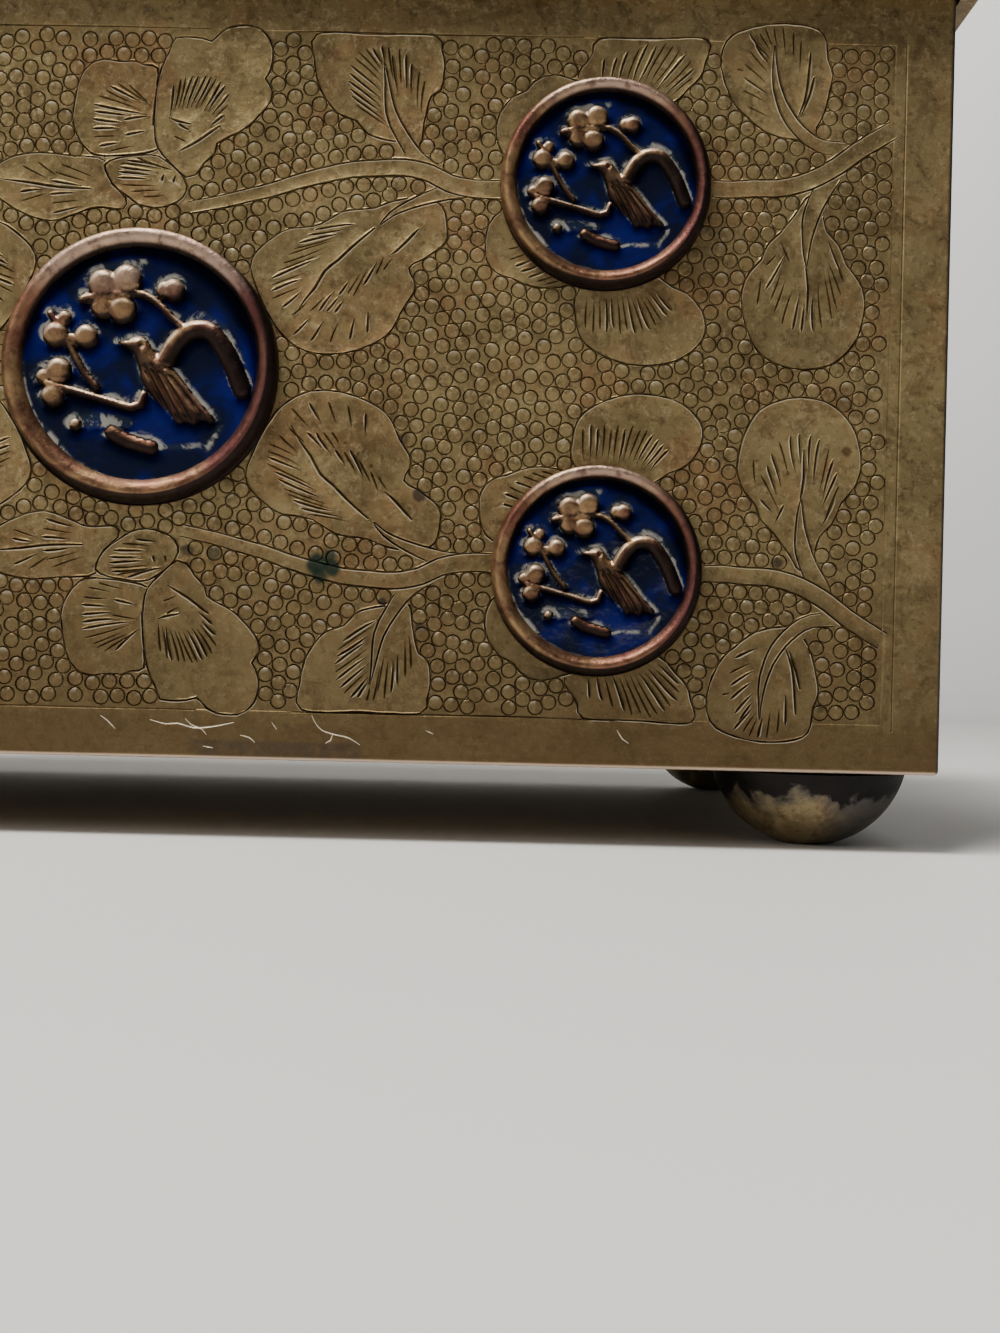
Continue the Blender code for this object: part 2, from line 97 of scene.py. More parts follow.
LEAVES = {
    "broad": [(12.6, 33.7), (11.6, 31.4), (11.0, 29.5), (11.6, 27.9), (13.4, 26.3), (14.8, 25.5),
      (16.5, 25.3), (18.1, 24.9), (20.3, 23.6), (21.9, 23.3), (23.7, 23.1), (25.4, 22.4), (28.5, 21.9),
      (30.6, 22.8), (31.1, 25.0), (31.0, 26.5), (28.7, 28.3), (27.3, 29.2), (28.0, 31.2), (26.8, 33.4),
      (25.2, 36.2), (21.5, 38.0), (17.5, 38.2), (14.6, 36.6)],
    "fan": [(25.6, 16.2), (24.0, 15.9), (22.7, 15.4), (21.5, 14.1), (20.0, 13.6), (19.0, 12.8),
      (17.9, 11.2), (17.4, 9.9), (17.1, 8), (17.3, 5.3), (23.5, 5.2), (29.6, 5.2), (30.2, 6.7),
      (30.5, 8.3), (30.2, 10.7), (29.2, 11.4), (28.5, 14.3), (28.1, 16.4)],
    "collar_up": [(38.5, 23.6), (36.6, 23.2), (35.4, 24.6), (35.1, 26.8), (35.3, 28.3), (36.3, 29.5),
      (37.8, 30.0), (39.3, 30.6), (40.7, 30.9), (42.0, 30.9), (43.8, 30.4), (44, 28)],
    "collar_low": [(40, 17.5), (37.2, 17.6), (36.0, 15.6), (36.1, 13.6), (36.7, 12.4), (37.6, 11.3),
      (39.0, 10.6), (39.7, 9.7), (40.7, 9.1), (41.8, 8.9), (43.2, 9.2), (46, 10.5), (43.5, 13.5)],
    "skirt": [(45, 10.5), (44.3, 8.6), (45.1, 7.6), (45.7, 6.5), (46.3, 5.1), (51.5, 5.0), (57.4, 4.9),
      (57.3, 7.2), (56.8, 8.8), (55.7, 9.9), (54, 11.6), (50, 13)],
    "crest": [(44.9, 31), (44.5, 33.5), (45.6, 36.6), (50, 38.6), (54.8, 38.2), (57.6, 36.0),
      (57.8, 33.8), (57.0, 32.2), (55.9, 31.2), (54.5, 30.6), (53, 29.6), (49, 28)],
    "tall": [(68.2, 20.9), (67.0, 22.6), (65.4, 24.7), (64.1, 26), (63.5, 27.5), (62.3, 28.9),
      (61.6, 30.6), (61.6, 32.2), (62.2, 34.8), (63.8, 37.4), (67.2, 38.7), (70.8, 38.2), (73.2, 36.0),
      (74.1, 33.4), (74.2, 31.2), (73.5, 29.4), (72.3, 27.9), (71.4, 25.8), (70.2, 24.5), (69.5, 22.3)],
    "corner": [(67.6, 15.0), (64.7, 14.7), (63.0, 13.9), (61.7, 12.8), (60.5, 11.7), (59.7, 10.2),
      (59.2, 8.9), (58.9, 6.6), (60.0, 4.4), (63.6, 3.2), (67.2, 3.2), (69.4, 4.1), (69.9, 6.7),
      (70.4, 8.3), (70.0, 10.6), (69.6, 12.3), (68.8, 13.8)],
}
VEINS = [
    [(15.6, 34.6), (16.6, 32.9), (17.7, 31.5), (18.7, 29.7), (20.0, 28.6), (21.3, 27.3), (22.4, 26.3),
      (23.7, 25.2)],
    [(25.3, 28), (26.0, 27.5), (27, 26.5), (28.2, 25.2)],
    [(68.3, 33.4), (68.4, 30.4), (68.1, 28.3)],
    [(66.9, 12.7), (67.6, 11), (67.9, 9), (68.1, 6)],
    [(67.3, 12.5), (68.1, 10.4), (68.5, 8.6)],
]
# A chisel stroke runs from its blunt outer end to its point
STROKES = [
    # broad leaf
    (14.4, 33.6, 16.3, 31.9), (15.4, 34.4, 17.0, 32.9), (13.4, 32.7, 16.1, 31.5),
    (13.3, 31.9, 16.4, 30.6), (13.3, 31.3, 16.7, 30.0), (13.3, 30.6, 18.1, 28.4),
    (14.0, 29.8, 18.4, 27.9), (14.5, 29.0, 18.9, 27.2), (15.0, 28.1, 19.7, 26.5),
    (15.5, 27.5, 19.9, 26.1), (16.0, 26.9, 20.3, 25.8), (16.8, 26.1, 21.0, 25.3),
    (17.6, 25.5, 21.9, 24.8), (17.3, 33.9, 18.7, 32.4), (18.2, 33.9, 19.7, 31.8),
    (19.0, 33.9, 20.2, 32.3), (19.8, 34.0, 20.6, 32.8), (20.2, 32.2, 21.2, 30.7),
    (21.1, 32.0, 22.4, 29.8), (21.7, 32.2, 23.1, 29.4), (22.7, 31.1, 24.0, 28.7),
    (23.9, 30.0, 24.7, 28.0), (24.7, 29.5, 25.6, 28.2), (15.6, 36.4, 17.3, 34.6),
    (17.4, 37.0, 18.6, 35.0), (19.4, 37.1, 20.2, 35.0), (21.4, 36.8, 21.8, 34.6),
    (23.2, 36.0, 23.2, 33.8),
    # fan leaf
    (21.5, 12.5, 25.0, 14.8), (21.0, 11.6, 24.5, 14.1), (20.9, 10.9, 24.1, 13.2),
    (20.7, 10.1, 24.0, 12.6), (20.8, 9.3, 24.0, 11.8), (20.9, 8.5, 24.0, 11.0), (21.3, 7.7, 24.1, 10.2),
    (21.7, 7.1, 24.0, 9.4), (22.4, 6.7, 24.0, 8.8), (23.1, 6.7, 24.1, 8.3), (24.0, 6.4, 24.3, 7.9),
    (24.7, 6.5, 25.3, 9.9), (25.1, 7.4, 25.7, 11.0), (25.8, 6.7, 26.1, 10.6), (26.5, 7.3, 26.6, 10.6),
    (27.1, 8.2, 27.1, 11.2), (27.9, 9.0, 27.8, 12.6), (28.5, 9.9, 28.2, 13.2),
    # collar and skirt about the medallion
    (37.7, 28.1, 39.4, 27.4), (38.2, 28.8, 40.1, 28.0), (38.8, 29.3, 40.8, 28.6),
    (39.6, 29.9, 41.5, 29.2), (40.5, 30.3, 42.3, 29.7), (41.5, 30.5, 43.0, 30.0),
    (37.6, 27.0, 38.7, 26.7), (46.9, 7.2, 46.7, 9.2), (48.2, 7.0, 47.6, 9.4), (49.3, 6.4, 48.4, 9.5),
    (50.5, 6.0, 49.2, 9.5), (51.3, 5.6, 49.8, 9.6), (52.2, 5.8, 50.4, 9.6), (53.2, 5.4, 51.0, 9.7),
    (53.9, 5.7, 51.5, 9.8), (54.6, 6.1, 51.9, 9.9), (55.2, 6.6, 52.4, 10.1), (55.8, 7.2, 52.9, 10.3),
    (56.1, 8.0, 53.4, 10.5), (56.0, 8.9, 53.9, 10.8),
    # crest leaf
    (45.6, 34.9, 45.7, 31.8), (46.4, 35.4, 46.4, 31.9), (47.1, 35.0, 47.0, 32.0),
    (47.8, 35.4, 47.6, 32.0), (48.5, 34.9, 48.2, 31.9), (49.2, 35.4, 48.8, 31.8),
    (49.9, 35.0, 49.3, 31.6), (50.7, 35.4, 49.8, 31.7), (51.5, 35.0, 50.3, 31.8),
    (52.2, 35.0, 50.8, 31.7), (52.8, 34.5, 51.2, 31.6), (53.4, 34.0, 51.6, 31.3),
    (53.9, 33.5, 52.0, 31.1), (54.4, 33.0, 52.6, 30.9),
    # tall leaf
    (65.8, 34.1, 66.8, 30.6), (66.9, 34.7, 67.5, 31.0), (67.8, 34.9, 68.0, 32.0),
    (65.0, 32.8, 66.0, 29.6), (64.0, 30.6, 65.9, 27.0), (64.6, 31.6, 65.6, 28.6),
    (63.2, 32.2, 63.5, 29.4), (64.0, 28.1, 65.2, 26.8), (69.0, 34.8, 68.9, 31.0),
    (69.9, 34.4, 69.4, 29.8), (70.9, 33.4, 70.0, 28.9), (71.4, 32.4, 70.4, 28.5),
    (71.8, 31.0, 70.3, 27.4), (72.0, 29.6, 70.7, 26.4), (71.6, 28.4, 70.3, 25.4),
    (66.4, 27.6, 65.5, 25.6),
    # corner leaf
    (61.8, 11.7, 64.1, 12.8), (61.3, 10.1, 63.5, 11.2), (61.35, 8.8, 63.8, 10.5), (61.4, 7.4, 63.6, 9.3),
    (61.9, 6.0, 63.7, 8.1), (62.4, 5.3, 63.8, 7.3), (61.8, 4.3, 63.8, 6.7), (62.8, 4.1, 64.0, 6.0),
    (63.4, 3.6, 64.2, 5.6), (64.3, 3.5, 64.7, 5.5), (65.2, 3.5, 65.5, 6.2), (66.3, 4.0, 66.4, 6.6),
    (67.1, 4.9, 67.0, 8.0), (60.6, 7.9, 61.3, 8.0),
]
# The flower at the middle of the lower edge isn't mirrored: it is drawn once to each side of the centre line
BUD = [(-4.2, 19.3), (-3.4, 21.2), (-1.9, 22.4), (-0.6, 23.3), (1.0, 23.6), (2.6, 23.3), (3.9, 22.5),
    (4.3, 21.3), (3.9, 20.4), (2.9, 19.4), (1.3, 18.3), (-0.3, 18.2), (-1.7, 18.4), (-2.9, 18.6)]
PETALS = [
    [(2.9, 19.3), (4.2, 20.4), (5.2, 20.1), (6.0, 18.9), (7.1, 17.8), (7.3, 16.8), (8.7, 16.0),
      (10.0, 15.3), (11.0, 14.4), (12.0, 13.3), (12.7, 12.3), (12.9, 11.3), (12.1, 10.0), (12.5, 9.4),
      (12.8, 8.3), (12.8, 7.0), (12.5, 6.0), (11.6, 5.0), (10.7, 4.6), (8.6, 4.7), (7.6, 5.2), (6.5, 6.3),
      (5.5, 6.0), (3.9, 5.9), (2.8, 6.0), (2.2, 7.4), (1.4, 9.2), (0.9, 12), (0.8, 15), (1.2, 17.4)],
    [(-4.2, 18.4), (-5.8, 18.0), (-6.6, 17.2), (-7.4, 15.7), (-7.6, 14.4), (-7.4, 12.6), (-7.1, 11.0),
      (-6.6, 9.7), (-5.9, 8.9), (-4.6, 8.4), (-2.5, 8.6), (-1.3, 8.5), (-0.3, 8.9), (1.0, 9.2), (0.9, 12),
      (0.7, 15), (1.1, 17.6)],
    [(-4.2, 18.9), (-5.8, 18.5), (-8.0, 18.4), (-11.0, 18.2), (-14.0, 18.8), (-16.2, 20.6), (-15.4, 22.6),
      (-12.6, 24.4), (-9.6, 25.2), (-7.0, 24.4), (-5.0, 23.7), (-2.2, 23.8), (-2.0, 22.6), (-3.4, 21.3)],
]
PETAL_VEINS = [
    [(3.3, 17.8), (5.5, 16.5), (7.5, 15.0)],
    [(2.3, 14.3), (3.1, 14.6), (4.5, 14.9)],
    [(-15.0, 21.0), (-12.0, 21.3), (-9.0, 21.7), (-5.6, 21.8)],
]
PETAL_STROKES = [
    # bud
    (-0.1, 22.5, 2.0, 22.3), (-1.4, 22.0, 1.6, 21.8), (-2.3, 21.3, 1.2, 21.3), (-2.8, 20.6, 0.6, 20.7),
    (-2.7, 20.0, 1.0, 20.3), (-2.6, 19.5, 1.3, 19.9), (-2.5, 19.1, 1.6, 19.6), (-1.9, 18.8, 2.3, 19.5),
    (-0.9, 18.5, 2.9, 19.7), (1.7, 20.8, 1.9, 20.1), (2.9, 20.9, 3.1, 20.2),
    # left petal
    (-4.8, 17.4, -2.6, 17.0), (-3.8, 17.9, -1.2, 17.3), (-5.3, 16.4, -2.9, 16.3),
    (-5.5, 15.6, -2.7, 15.5), (-2.2, 16.2, 0.1, 15.7), (-5.5, 14.6, -2.3, 14.9), (-2.3, 14.6, 0.3, 14.2),
    (-5.4, 13.8, -1.6, 14.2), (-5.4, 13.1, 0.0, 14.0), (-5.0, 12.2, -0.6, 13.6), (-4.2, 11.6, -1.3, 12.9),
    (-3.8, 11.2, -0.7, 12.7), (-3.0, 10.9, 0.0, 12.8), (-1.9, 11.0, 0.5, 13.3),
    # right petal
    (2.9, 16.2, 4.2, 16.8), (3.3, 14.9, 4.5, 15.6), (7.6, 15.0, 6.2, 15.9), (7.9, 13.9, 6.5, 15.1),
    (2.7, 11.0, 2.4, 14.0), (3.4, 10.3, 2.8, 13.6), (3.9, 10.1, 3.2, 13.4), (4.6, 10.0, 3.6, 13.3),
    (5.2, 10.0, 4.1, 13.2), (6.0, 9.9, 4.5, 13.1), (6.5, 10.0, 5.0, 13.1), (7.0, 10.2, 5.4, 13.2),
    (7.5, 10.5, 5.9, 13.4), (8.0, 10.9, 6.3, 13.5), (8.4, 11.7, 6.7, 13.8), (8.3, 12.8, 6.9, 14.2),
    # side leaf
    (-9.4, 24.4, -6.4, 23.6), (-9.6, 23.4, -6.6, 23.0), (-9.8, 22.5, -6.8, 22.3),
    (-9.6, 21.1, -6.6, 21.5), (-9.2, 20.2, -6.0, 21.1), (-8.6, 19.4, -5.4, 20.6),
    (-12.6, 23.2, -10.2, 22.4), (-12.8, 22.3, -10.6, 22.0), (-12.6, 19.6, -10.2, 20.8),
    (-11.0, 19.2, -9.0, 20.6),
]
# Pale scratches along the front's lower border, in millimetres from the middle of the face's lower edge
SCRATCHES = [
    [(-3.3, 4.2), (-2.6, 3.7), (-1.8, 2.9)],
    [(1.8, 3.9), (3.4, 3.5), (4.6, 3.6), (6.2, 3.2), (8.0, 3.3), (10.4, 3.8)],
    [(5.4, 4.1), (6.0, 3.5), (7.2, 3.0), (7.6, 2.5)],
    [(11.1, 2.5), (12.0, 2.3), (12.6, 1.8)],
    [(7.3, 1.3), (8.3, 1.15)],
    [(18.4, 4.7), (18.8, 3.9), (19.5, 3.2), (20.8, 2.8), (22.2, 2.5), (23.4, 1.8)],
    [(20.6, 2.8), (20.4, 2.2), (19.9, 1.9)],
    [(49.8, 3.9), (50.4, 3.0), (51.0, 2.6)],
    [(14.3, 3.9), (14.8, 3.2)],
    [(30.2, 3.4), (30.9, 3.1)],
]


def smoothed(points, closed, step):
    """Points about a step apart on a smooth curve through the given ones."""
    known = [np.array(p, float) for p in points]
    count = len(known)
    made = []
    for i in range(count if closed else count - 1):
        if closed:
            a, b, c, d = known[i - 1], known[i], known[(i + 1) % count], known[(i + 2) % count]
        else:
            a, b, c, d = known[max(i - 1, 0)], known[i], known[i + 1], known[min(i + 2, count - 1)]
        pieces = max(1, round(float(np.linalg.norm(c - b)) / step))
        for k in range(pieces):
            t = k / pieces
            square, cube = 2 * a - 5 * b + 4 * c - d, 3 * b - a - 3 * c + d
            made.append(0.5 * (2 * b + (c - a) * t + square * t * t + cube * t**3))
    if not closed:
        made.append(known[-1])
    return np.array(made)


def corners(low_u, low_v, high_u, high_v):
    """A rectangle's corners, counted round from the lower left."""
    return [(low_u, low_v), (high_u, low_v), (high_u, high_v), (low_u, high_v)]


def circle(count, radius=1.0, start=0.0, middle=(0.0, 0.0)):
    """Evenly spaced points on a circle, the first one a start's share of a step on."""
    turns = [2 * math.pi * (k + start) / count for k in range(count)]
    return [(middle[0] + radius * math.cos(a), middle[1] + radius * math.sin(a)) for a in turns]


def normals_of(line, closed):
    """The left-hand normal at each point of a line."""
    if closed:
        along = np.roll(line, -1, 0) - np.roll(line, 1, 0)
    else:
        along = np.gradient(line, axis=0)
    along /= np.linalg.norm(along, axis=1)[:, None] + 1e-9
    return np.stack([-along[:, 1], along[:, 0]], 1)


def inside(points, polygon):
    """Which points lie inside a polygon."""
    x, y = points[:, 0], points[:, 1]
    result = np.zeros(len(points), bool)
    for (ax, ay), (bx, by) in zip(polygon, np.roll(polygon, -1, 0)):
        crosses = (ay > y) != (by > y)
        with np.errstate(divide="ignore", invalid="ignore"):
            at = ax + (y - ay) * (bx - ax) / (by - ay)
        result ^= crosses & (x < at)
    return result


def to_segment(points, a, b):
    """Each point's distance from a segment, and how far along it the nearest place is, from 0 to 1."""
    along = b - a
    t = np.clip(((points - a) @ along) / max(float(along @ along), 1e-12), 0.0, 1.0)
    return np.linalg.norm(points - (a + t[:, None] * along), axis=1), t


class Panel:
    """A chased sheet, drawn in millimetres from its middle, with its depth below the plain border."""

    # A punched ring's circles from the outside in, as radius and depth below the ground, and their grime
    RING = ((0.87, 0.0), (0.785, 0.16), (0.655, 0.05))
    RING_SHADES = (0.30, 1.0, 0.05)
    RING_MIDDLE = 0.015
    # How bright the painted highlight on the upper edge of a ring's top is
    RING_SHINE = 0.40
    # Cells of the search grid and of the punch's map, and the width of the step down to the ground
    CELL, MAP, STEP = 2.0, 0.1, 0.08
    # A cut's lip reaches to this many half-widths, stands this high, and has a painted highlight below and
    # above the cut
    LIP, LIP_HEIGHT, LIP_SHINES = 1.9, 0.06, (0.50, 0.08)
    # Lines run this far in under a medallion, its seat is this much wider, and rings keep this far off
    UNDER, SEAT, OFF_DISC = 0.4, 0.2, 0.35
    # A ring's middle keeps this far off a cut, and the first rings stand this much further out
    OFF_CUT, FIRST_OFF = 0.68, 0.14

    def __init__(self, half_u, half_v, ring_sides, lips=False):
        self.half_u, self.half_v = half_u, half_v
        self.sides, self.ground, self.lips = ring_sides, GROUND, lips
        self.points, self.edges = [], []
        self.cuts, self.raised, self.discs, self.rings = [], [], [], []
        self.ground_box = None

    def path(self, line, closed):
        """Adds a line that the mesh's edges follow."""
        first = len(self.points)
        self.points += [tuple(p) for p in line]
        last = len(self.points) - 1
        self.edges += [(i, i + 1) for i in range(first, last)]
        if closed:
            self.edges.append((last, first))

    def visible(self, spots):
        """False where a raised shape that was drawn earlier, or a medallion, lies over a place."""
        result = np.ones(len(spots), bool)
        low, high = spots.min(0), spots.max(0)
        for shape in self.raised:
            if (shape.min(0) <= high).all() and (shape.max(0) >= low).all():
                result &= ~inside(spots, shape)
        for u, v, r in self.discs:
            result &= np.hypot(spots[:, 0] - u, spots[:, 1] - v) > r - self.UNDER
        return result

    def runs(self, line, closed):
        """The parts of a line that show, each with True if it is the whole of a closed line."""
        shown = list(self.visible(line))
        if closed and all(shown):
            return [(line, True)]
        found, run = [], []
        again = 1 if closed else 0
        for p, seen in zip([*line, *line[:again]], shown + shown[:again]):
            if seen:
                run.append(p)
            else:
                found.append(run)
                run = []
        return [(np.array(part), False) for part in [*found, run] if len(part) > 1]

    def groove(self, line, closed, width, depth, shares=(0.25, 1, 1, 0.6), lip=True, shade=1.0):
        """Cuts a V along a line. An open one takes shares of its width at 0, 0.3, 0.75 and all of its length.
        The metal pushed aside stands up as a lip, with a strong painted highlight below the cut and a faint
        one above it."""
        lip = lip and self.lips
        for part, whole in self.runs(np.array(line, float), closed):
            n = len(part)
            if closed:
                share = np.array([DRAW.uniform(0.62, 1.08) for _ in range(n)])
            else:
                share = np.interp(np.linspace(0, 1, n), [0, 0.3, 0.75, 1], shares)
            half = share * width / 2
            side = normals_of(part, whole) * half[:, None]
            for reach in (1.0, self.LIP) if lip else (1.0,):
                left, right = part + side * reach, part - side * reach
                if whole:
                    self.path(left, True)
                    self.path(right, True)
                else:
                    head, tail = part[0] - part[1], part[-1] - part[-2]
                    head *= half[0] * reach / max(np.hypot(*head), 1e-6)
                    tail *= half[-1] * reach / max(np.hypot(*tail), 1e-6)
                    self.path([part[0] + head, *left, part[-1] + tail, *right[::-1]], True)
            self.path(part, whole)
            for i in range(n if whole else n - 1):
                j = (i + 1) % n
                self.cuts.append((part[i], part[j], half[i], half[j], share[i] * depth, share[j] * depth,
                                  shade, lip))

    def shape(self, outline):
        """A leaf or petal that stands above the ground, with a chased line round it."""
        line = smoothed(outline, True, 0.8)
        self.groove(line, True, 0.25, 0.20)
        self.raised.append(line)

    def stroke(self, start, end):
        """A chisel mark, from a blunt end to a point."""
        a, b = np.array(start, float), np.array(end, float)
        bend = np.array((a[1] - b[1], b[0] - a[0])) * DRAW.uniform(-0.03, 0.03)
        scale = DRAW.uniform(0.85, 1.15)
        line = [a + (b - a) * t + bend * math.sin(math.pi * t) for t in (0, 0.14, 0.4, 0.7, 1)]
        self.groove(line, False, 0.33 * scale, 0.20 * scale, (0.45, 1, 0.7, 0.12), lip=scale > 1.0)

    def branch(self, points, widths):
        """A stem whose width changes along it, as a raised shape."""
        line = smoothed(points, False, 1.0)
        half = np.interp(np.linspace(0, 1, len(line)), [0, 0.5, 1], widths) / 2
        side = normals_of(line, False) * half[:, None]
        for edge in (line + side, line - side):
            self.groove(edge, False, 0.24, 0.19, (0.6, 1, 1, 0.6))
        self.raised.append(np.concatenate([line + side, (line - side)[::-1]]))

    def frame_lines(self, u, v, shift, count, width, depth, shares):
        """Four scribed lines about a panel, this far from its middle."""
        ends = [np.array(p) for p in corners(-u, shift - v, u, shift + v)]
        for a, b in zip(ends, ends[1:] + ends[:1]):
            self.groove([a + (b - a) * t for t in np.linspace(0, 1, count)], False, width, depth, shares)

    def blocked(self):
        """A map of the ground: True where a ring's middle may not be."""
        low_u, low_v, high_u, high_v = self.ground_box
        reach, near = self.RING[0][0], self.OFF_CUT
        us = np.arange(low_u, high_u, self.MAP)
        vs = np.arange(low_v, high_v, self.MAP)
        full = np.zeros((len(us), len(vs)), bool)
        full[(us < low_u + reach) | (us > high_u - reach), :] = True
        full[:, (vs < low_v + reach) | (vs > high_v - reach)] = True

        def window(low, high):
            i0, i1 = np.searchsorted(us, (low[0], high[0]))
            j0, j1 = np.searchsorted(vs, (low[1], high[1]))
            spots = np.stack(np.meshgrid(us[i0:i1], vs[j0:j1], indexing="ij"), -1)
            return full[i0:i1, j0:j1], spots

        for shape in self.raised:
            part, spots = window(shape.min(0), shape.max(0))
            if part.size:
                part |= inside(spots.reshape(-1, 2), shape).reshape(part.shape)
        for a, b, *_ in self.cuts:
            part, spots = window(np.minimum(a, b) - near, np.maximum(a, b) + near)
            if part.size:
                part |= (to_segment(spots.reshape(-1, 2), a, b)[0] < near).reshape(part.shape)
        for u, v, r in self.discs:
            part, spots = window((u - r - 1, v - r - 1), (u + r + 1, v + r + 1))
            part |= np.hypot(spots[..., 0] - u, spots[..., 1] - v) < r + self.OFF_DISC
        return full

    def punch(self, pitch=1.62, fill=(0.94, 0.86)):
        """Packs punched rings over the ground, hugging the outlines first and then filling in."""
        low_u, low_v, high_u, high_v = self.ground_box
        full = self.blocked()
        grid = {}

        def fits(p, gap):
            i, j = int(round((p[0] - low_u) / self.MAP)), int(round((p[1] - low_v) / self.MAP))
            if not (0 <= i < full.shape[0] and 0 <= j < full.shape[1]) or full[i, j]:
                return False
            cu, cv = int(p[0] // pitch), int(p[1] // pitch)
            return not any(
                math.dist(p, other) < gap
                for du in (-1, 0, 1) for dv in (-1, 0, 1) for other in grid.get((cu + du, cv + dv), ())
            )

        def place(p):
            grid.setdefault((int(p[0] // pitch), int(p[1] // pitch)), []).append(p)
            self.rings.append(p)

        waiting = []
        for line in [*self.raised, smoothed(corners(*self.ground_box), True, pitch)]:
            turned = smoothed(line[:: max(1, int(len(line) / 40))], True, pitch * 0.25)
            for sign in (1, -1):
                offset = normals_of(turned, True) * (self.OFF_CUT + self.FIRST_OFF) * sign
                for p, (nx, ny) in zip(turned + offset, offset):
                    if fits(tuple(p), pitch * 0.985):
                        place(tuple(p))
                        waiting.append((tuple(p), math.atan2(ny, nx)))
        # Each ring tries its six neighbours' places first, and then the ones between them
        while waiting:
            p, turn = waiting.pop(0)
            for k in (0, 3, 6, 9, 12, 15, 1, 2, 4, 5, 7, 8, 10, 11, 13, 14, 16, 17):
                angle = turn + math.pi / 6 + k * math.pi / 9
                step = pitch * DRAW.uniform(1.0, 1.04)
                q = (p[0] + step * math.cos(angle), p[1] + step * math.sin(angle))
                if fits(q, pitch * 0.975):
                    place(q)
                    waiting.append((q, angle - math.pi / 6))
        # Late rings fill the gaps that are left and overlap their neighbours a little
        search_step = 0.27
        for share in fill:
            for u in np.arange(low_u, high_u, search_step):
                for v in np.arange(low_v, high_v, search_step):
                    if fits((float(u), float(v)), pitch * share):
                        place((float(u), float(v)))

    def add_rings(self):
        """Puts each ring's circles and its middle into the mesh's lines."""
        for u, v in self.rings:
            sides = self.sides(u) if callable(self.sides) else self.sides
            turn = DRAW.uniform(0, 1)
            for radius, _ in self.RING:
                self.path(circle(sides, radius, turn, (u, v)), True)
            self.points.append((u, v))

    def depths(self, spots):
        """The depth at each spot, and how deep it lies in a groove, from 0 to 1; below 0 is bright, for worn
        scratches and for painted highlights on lips and ring tops.
        """
        cells = {}
        keys = np.floor(spots / self.CELL).astype(int)
        order = np.lexsort((keys[:, 1], keys[:, 0]))
        breaks = np.nonzero(np.any(np.diff(keys[order], axis=0) != 0, axis=1))[0] + 1
        for run in np.split(order, breaks):
            cells[tuple(keys[run[0]])] = run

        def near(low, high):
            (lu, lv), (hu, hv) = np.floor(np.array((low, high)) / self.CELL).astype(int)
            around = [(cu, cv) for cu in range(lu, hu + 1) for cv in range(lv, hv + 1)]
            runs = [cells[key] for key in around if key in cells]
            return np.concatenate(runs) if runs else np.zeros(0, int)

        level = np.zeros(len(spots))
        if self.ground_box:
            lu, lv, hu, hv = np.array(self.ground_box) + np.array((1, 1, -1, -1)) * self.STEP / 2
            in_ground = (spots[:, 0] > lu) & (spots[:, 0] < hu) & (spots[:, 1] > lv) & (spots[:, 1] < hv)
            level[in_ground] = self.ground
        for shape in self.raised:
            some = near(shape.min(0), shape.max(0))
            level[some[inside(spots[some], shape)]] = LEAF
        for u, v, r in self.discs:
            level[np.hypot(spots[:, 0] - u, spots[:, 1] - v) < r + self.SEAT] = self.ground
        depth = level.copy()
        cut, lift, shine = (np.zeros(len(spots)) for _ in range(3))
        for a, b, wa, wb, da, db, shade, lip in self.cuts:
            pad = max(wa, wb) * (self.LIP if lip else 1)
            some = near(np.minimum(a, b) - pad, np.maximum(a, b) + pad)
            if not len(some):
                continue
            away, t = to_segment(spots[some], a, b)
            half = np.maximum(wa + (wb - wa) * t, 1e-6)
            share = np.clip(1 - away / half, 0, 1)
            drop = share * (da + (db - da) * t)
            depth[some] = np.maximum(depth[some], level[some] * (share < 1) + drop)
            cut[some] = np.where(np.abs(cut[some]) > share, cut[some], shade * share)
            if lip:
                ridge = np.clip((self.LIP - away / half) / (self.LIP - 1), 0, 1) * (share < 0.02)
                lift[some] = np.maximum(lift[some], self.LIP_HEIGHT * ridge)
                # The lip gets a painted highlight, strong below the cut and faint above it
                below = spots[some, 1] < a[1] + (b[1] - a[1]) * t
                shine[some] = np.maximum(shine[some], np.where(below, *self.LIP_SHINES) * ridge)
        free = np.abs(cut) < 0.02
        depth -= lift * free
        cut -= shine * free
        reach, top_radius = self.RING[0][0], self.RING[-1][0]
        radii = [0.0] + [radius for radius, _ in self.RING[::-1]]
        drops = [self.RING_MIDDLE] + [drop for _, drop in self.RING[::-1]]
        shades = [0.0] + list(self.RING_SHADES[::-1])
        for u, v in self.rings:
            some = near((u - reach, v - reach), (u + reach, v + reach))
            away = np.hypot(spots[some, 0] - u, spots[some, 1] - v)
            within = away < reach
            drop = np.where(within, self.ground + np.interp(away, radii, drops), 0)
            depth[some] = np.maximum(depth[some], drop)
            dark = np.where(within, np.interp(away, radii, shades), 0)
            # Painted highlight on the upper edge of a ring's top
            upper = (np.abs(away - top_radius) < 0.01) * np.clip((spots[some, 1] - v) / top_radius, 0, 1)
            kept = np.where(cut[some] > 0.05, cut[some], cut[some] - self.RING_SHINE * upper)
            cut[some] = np.where(dark > 0.05, np.maximum(cut[some], dark), kept)
        return depth, cut

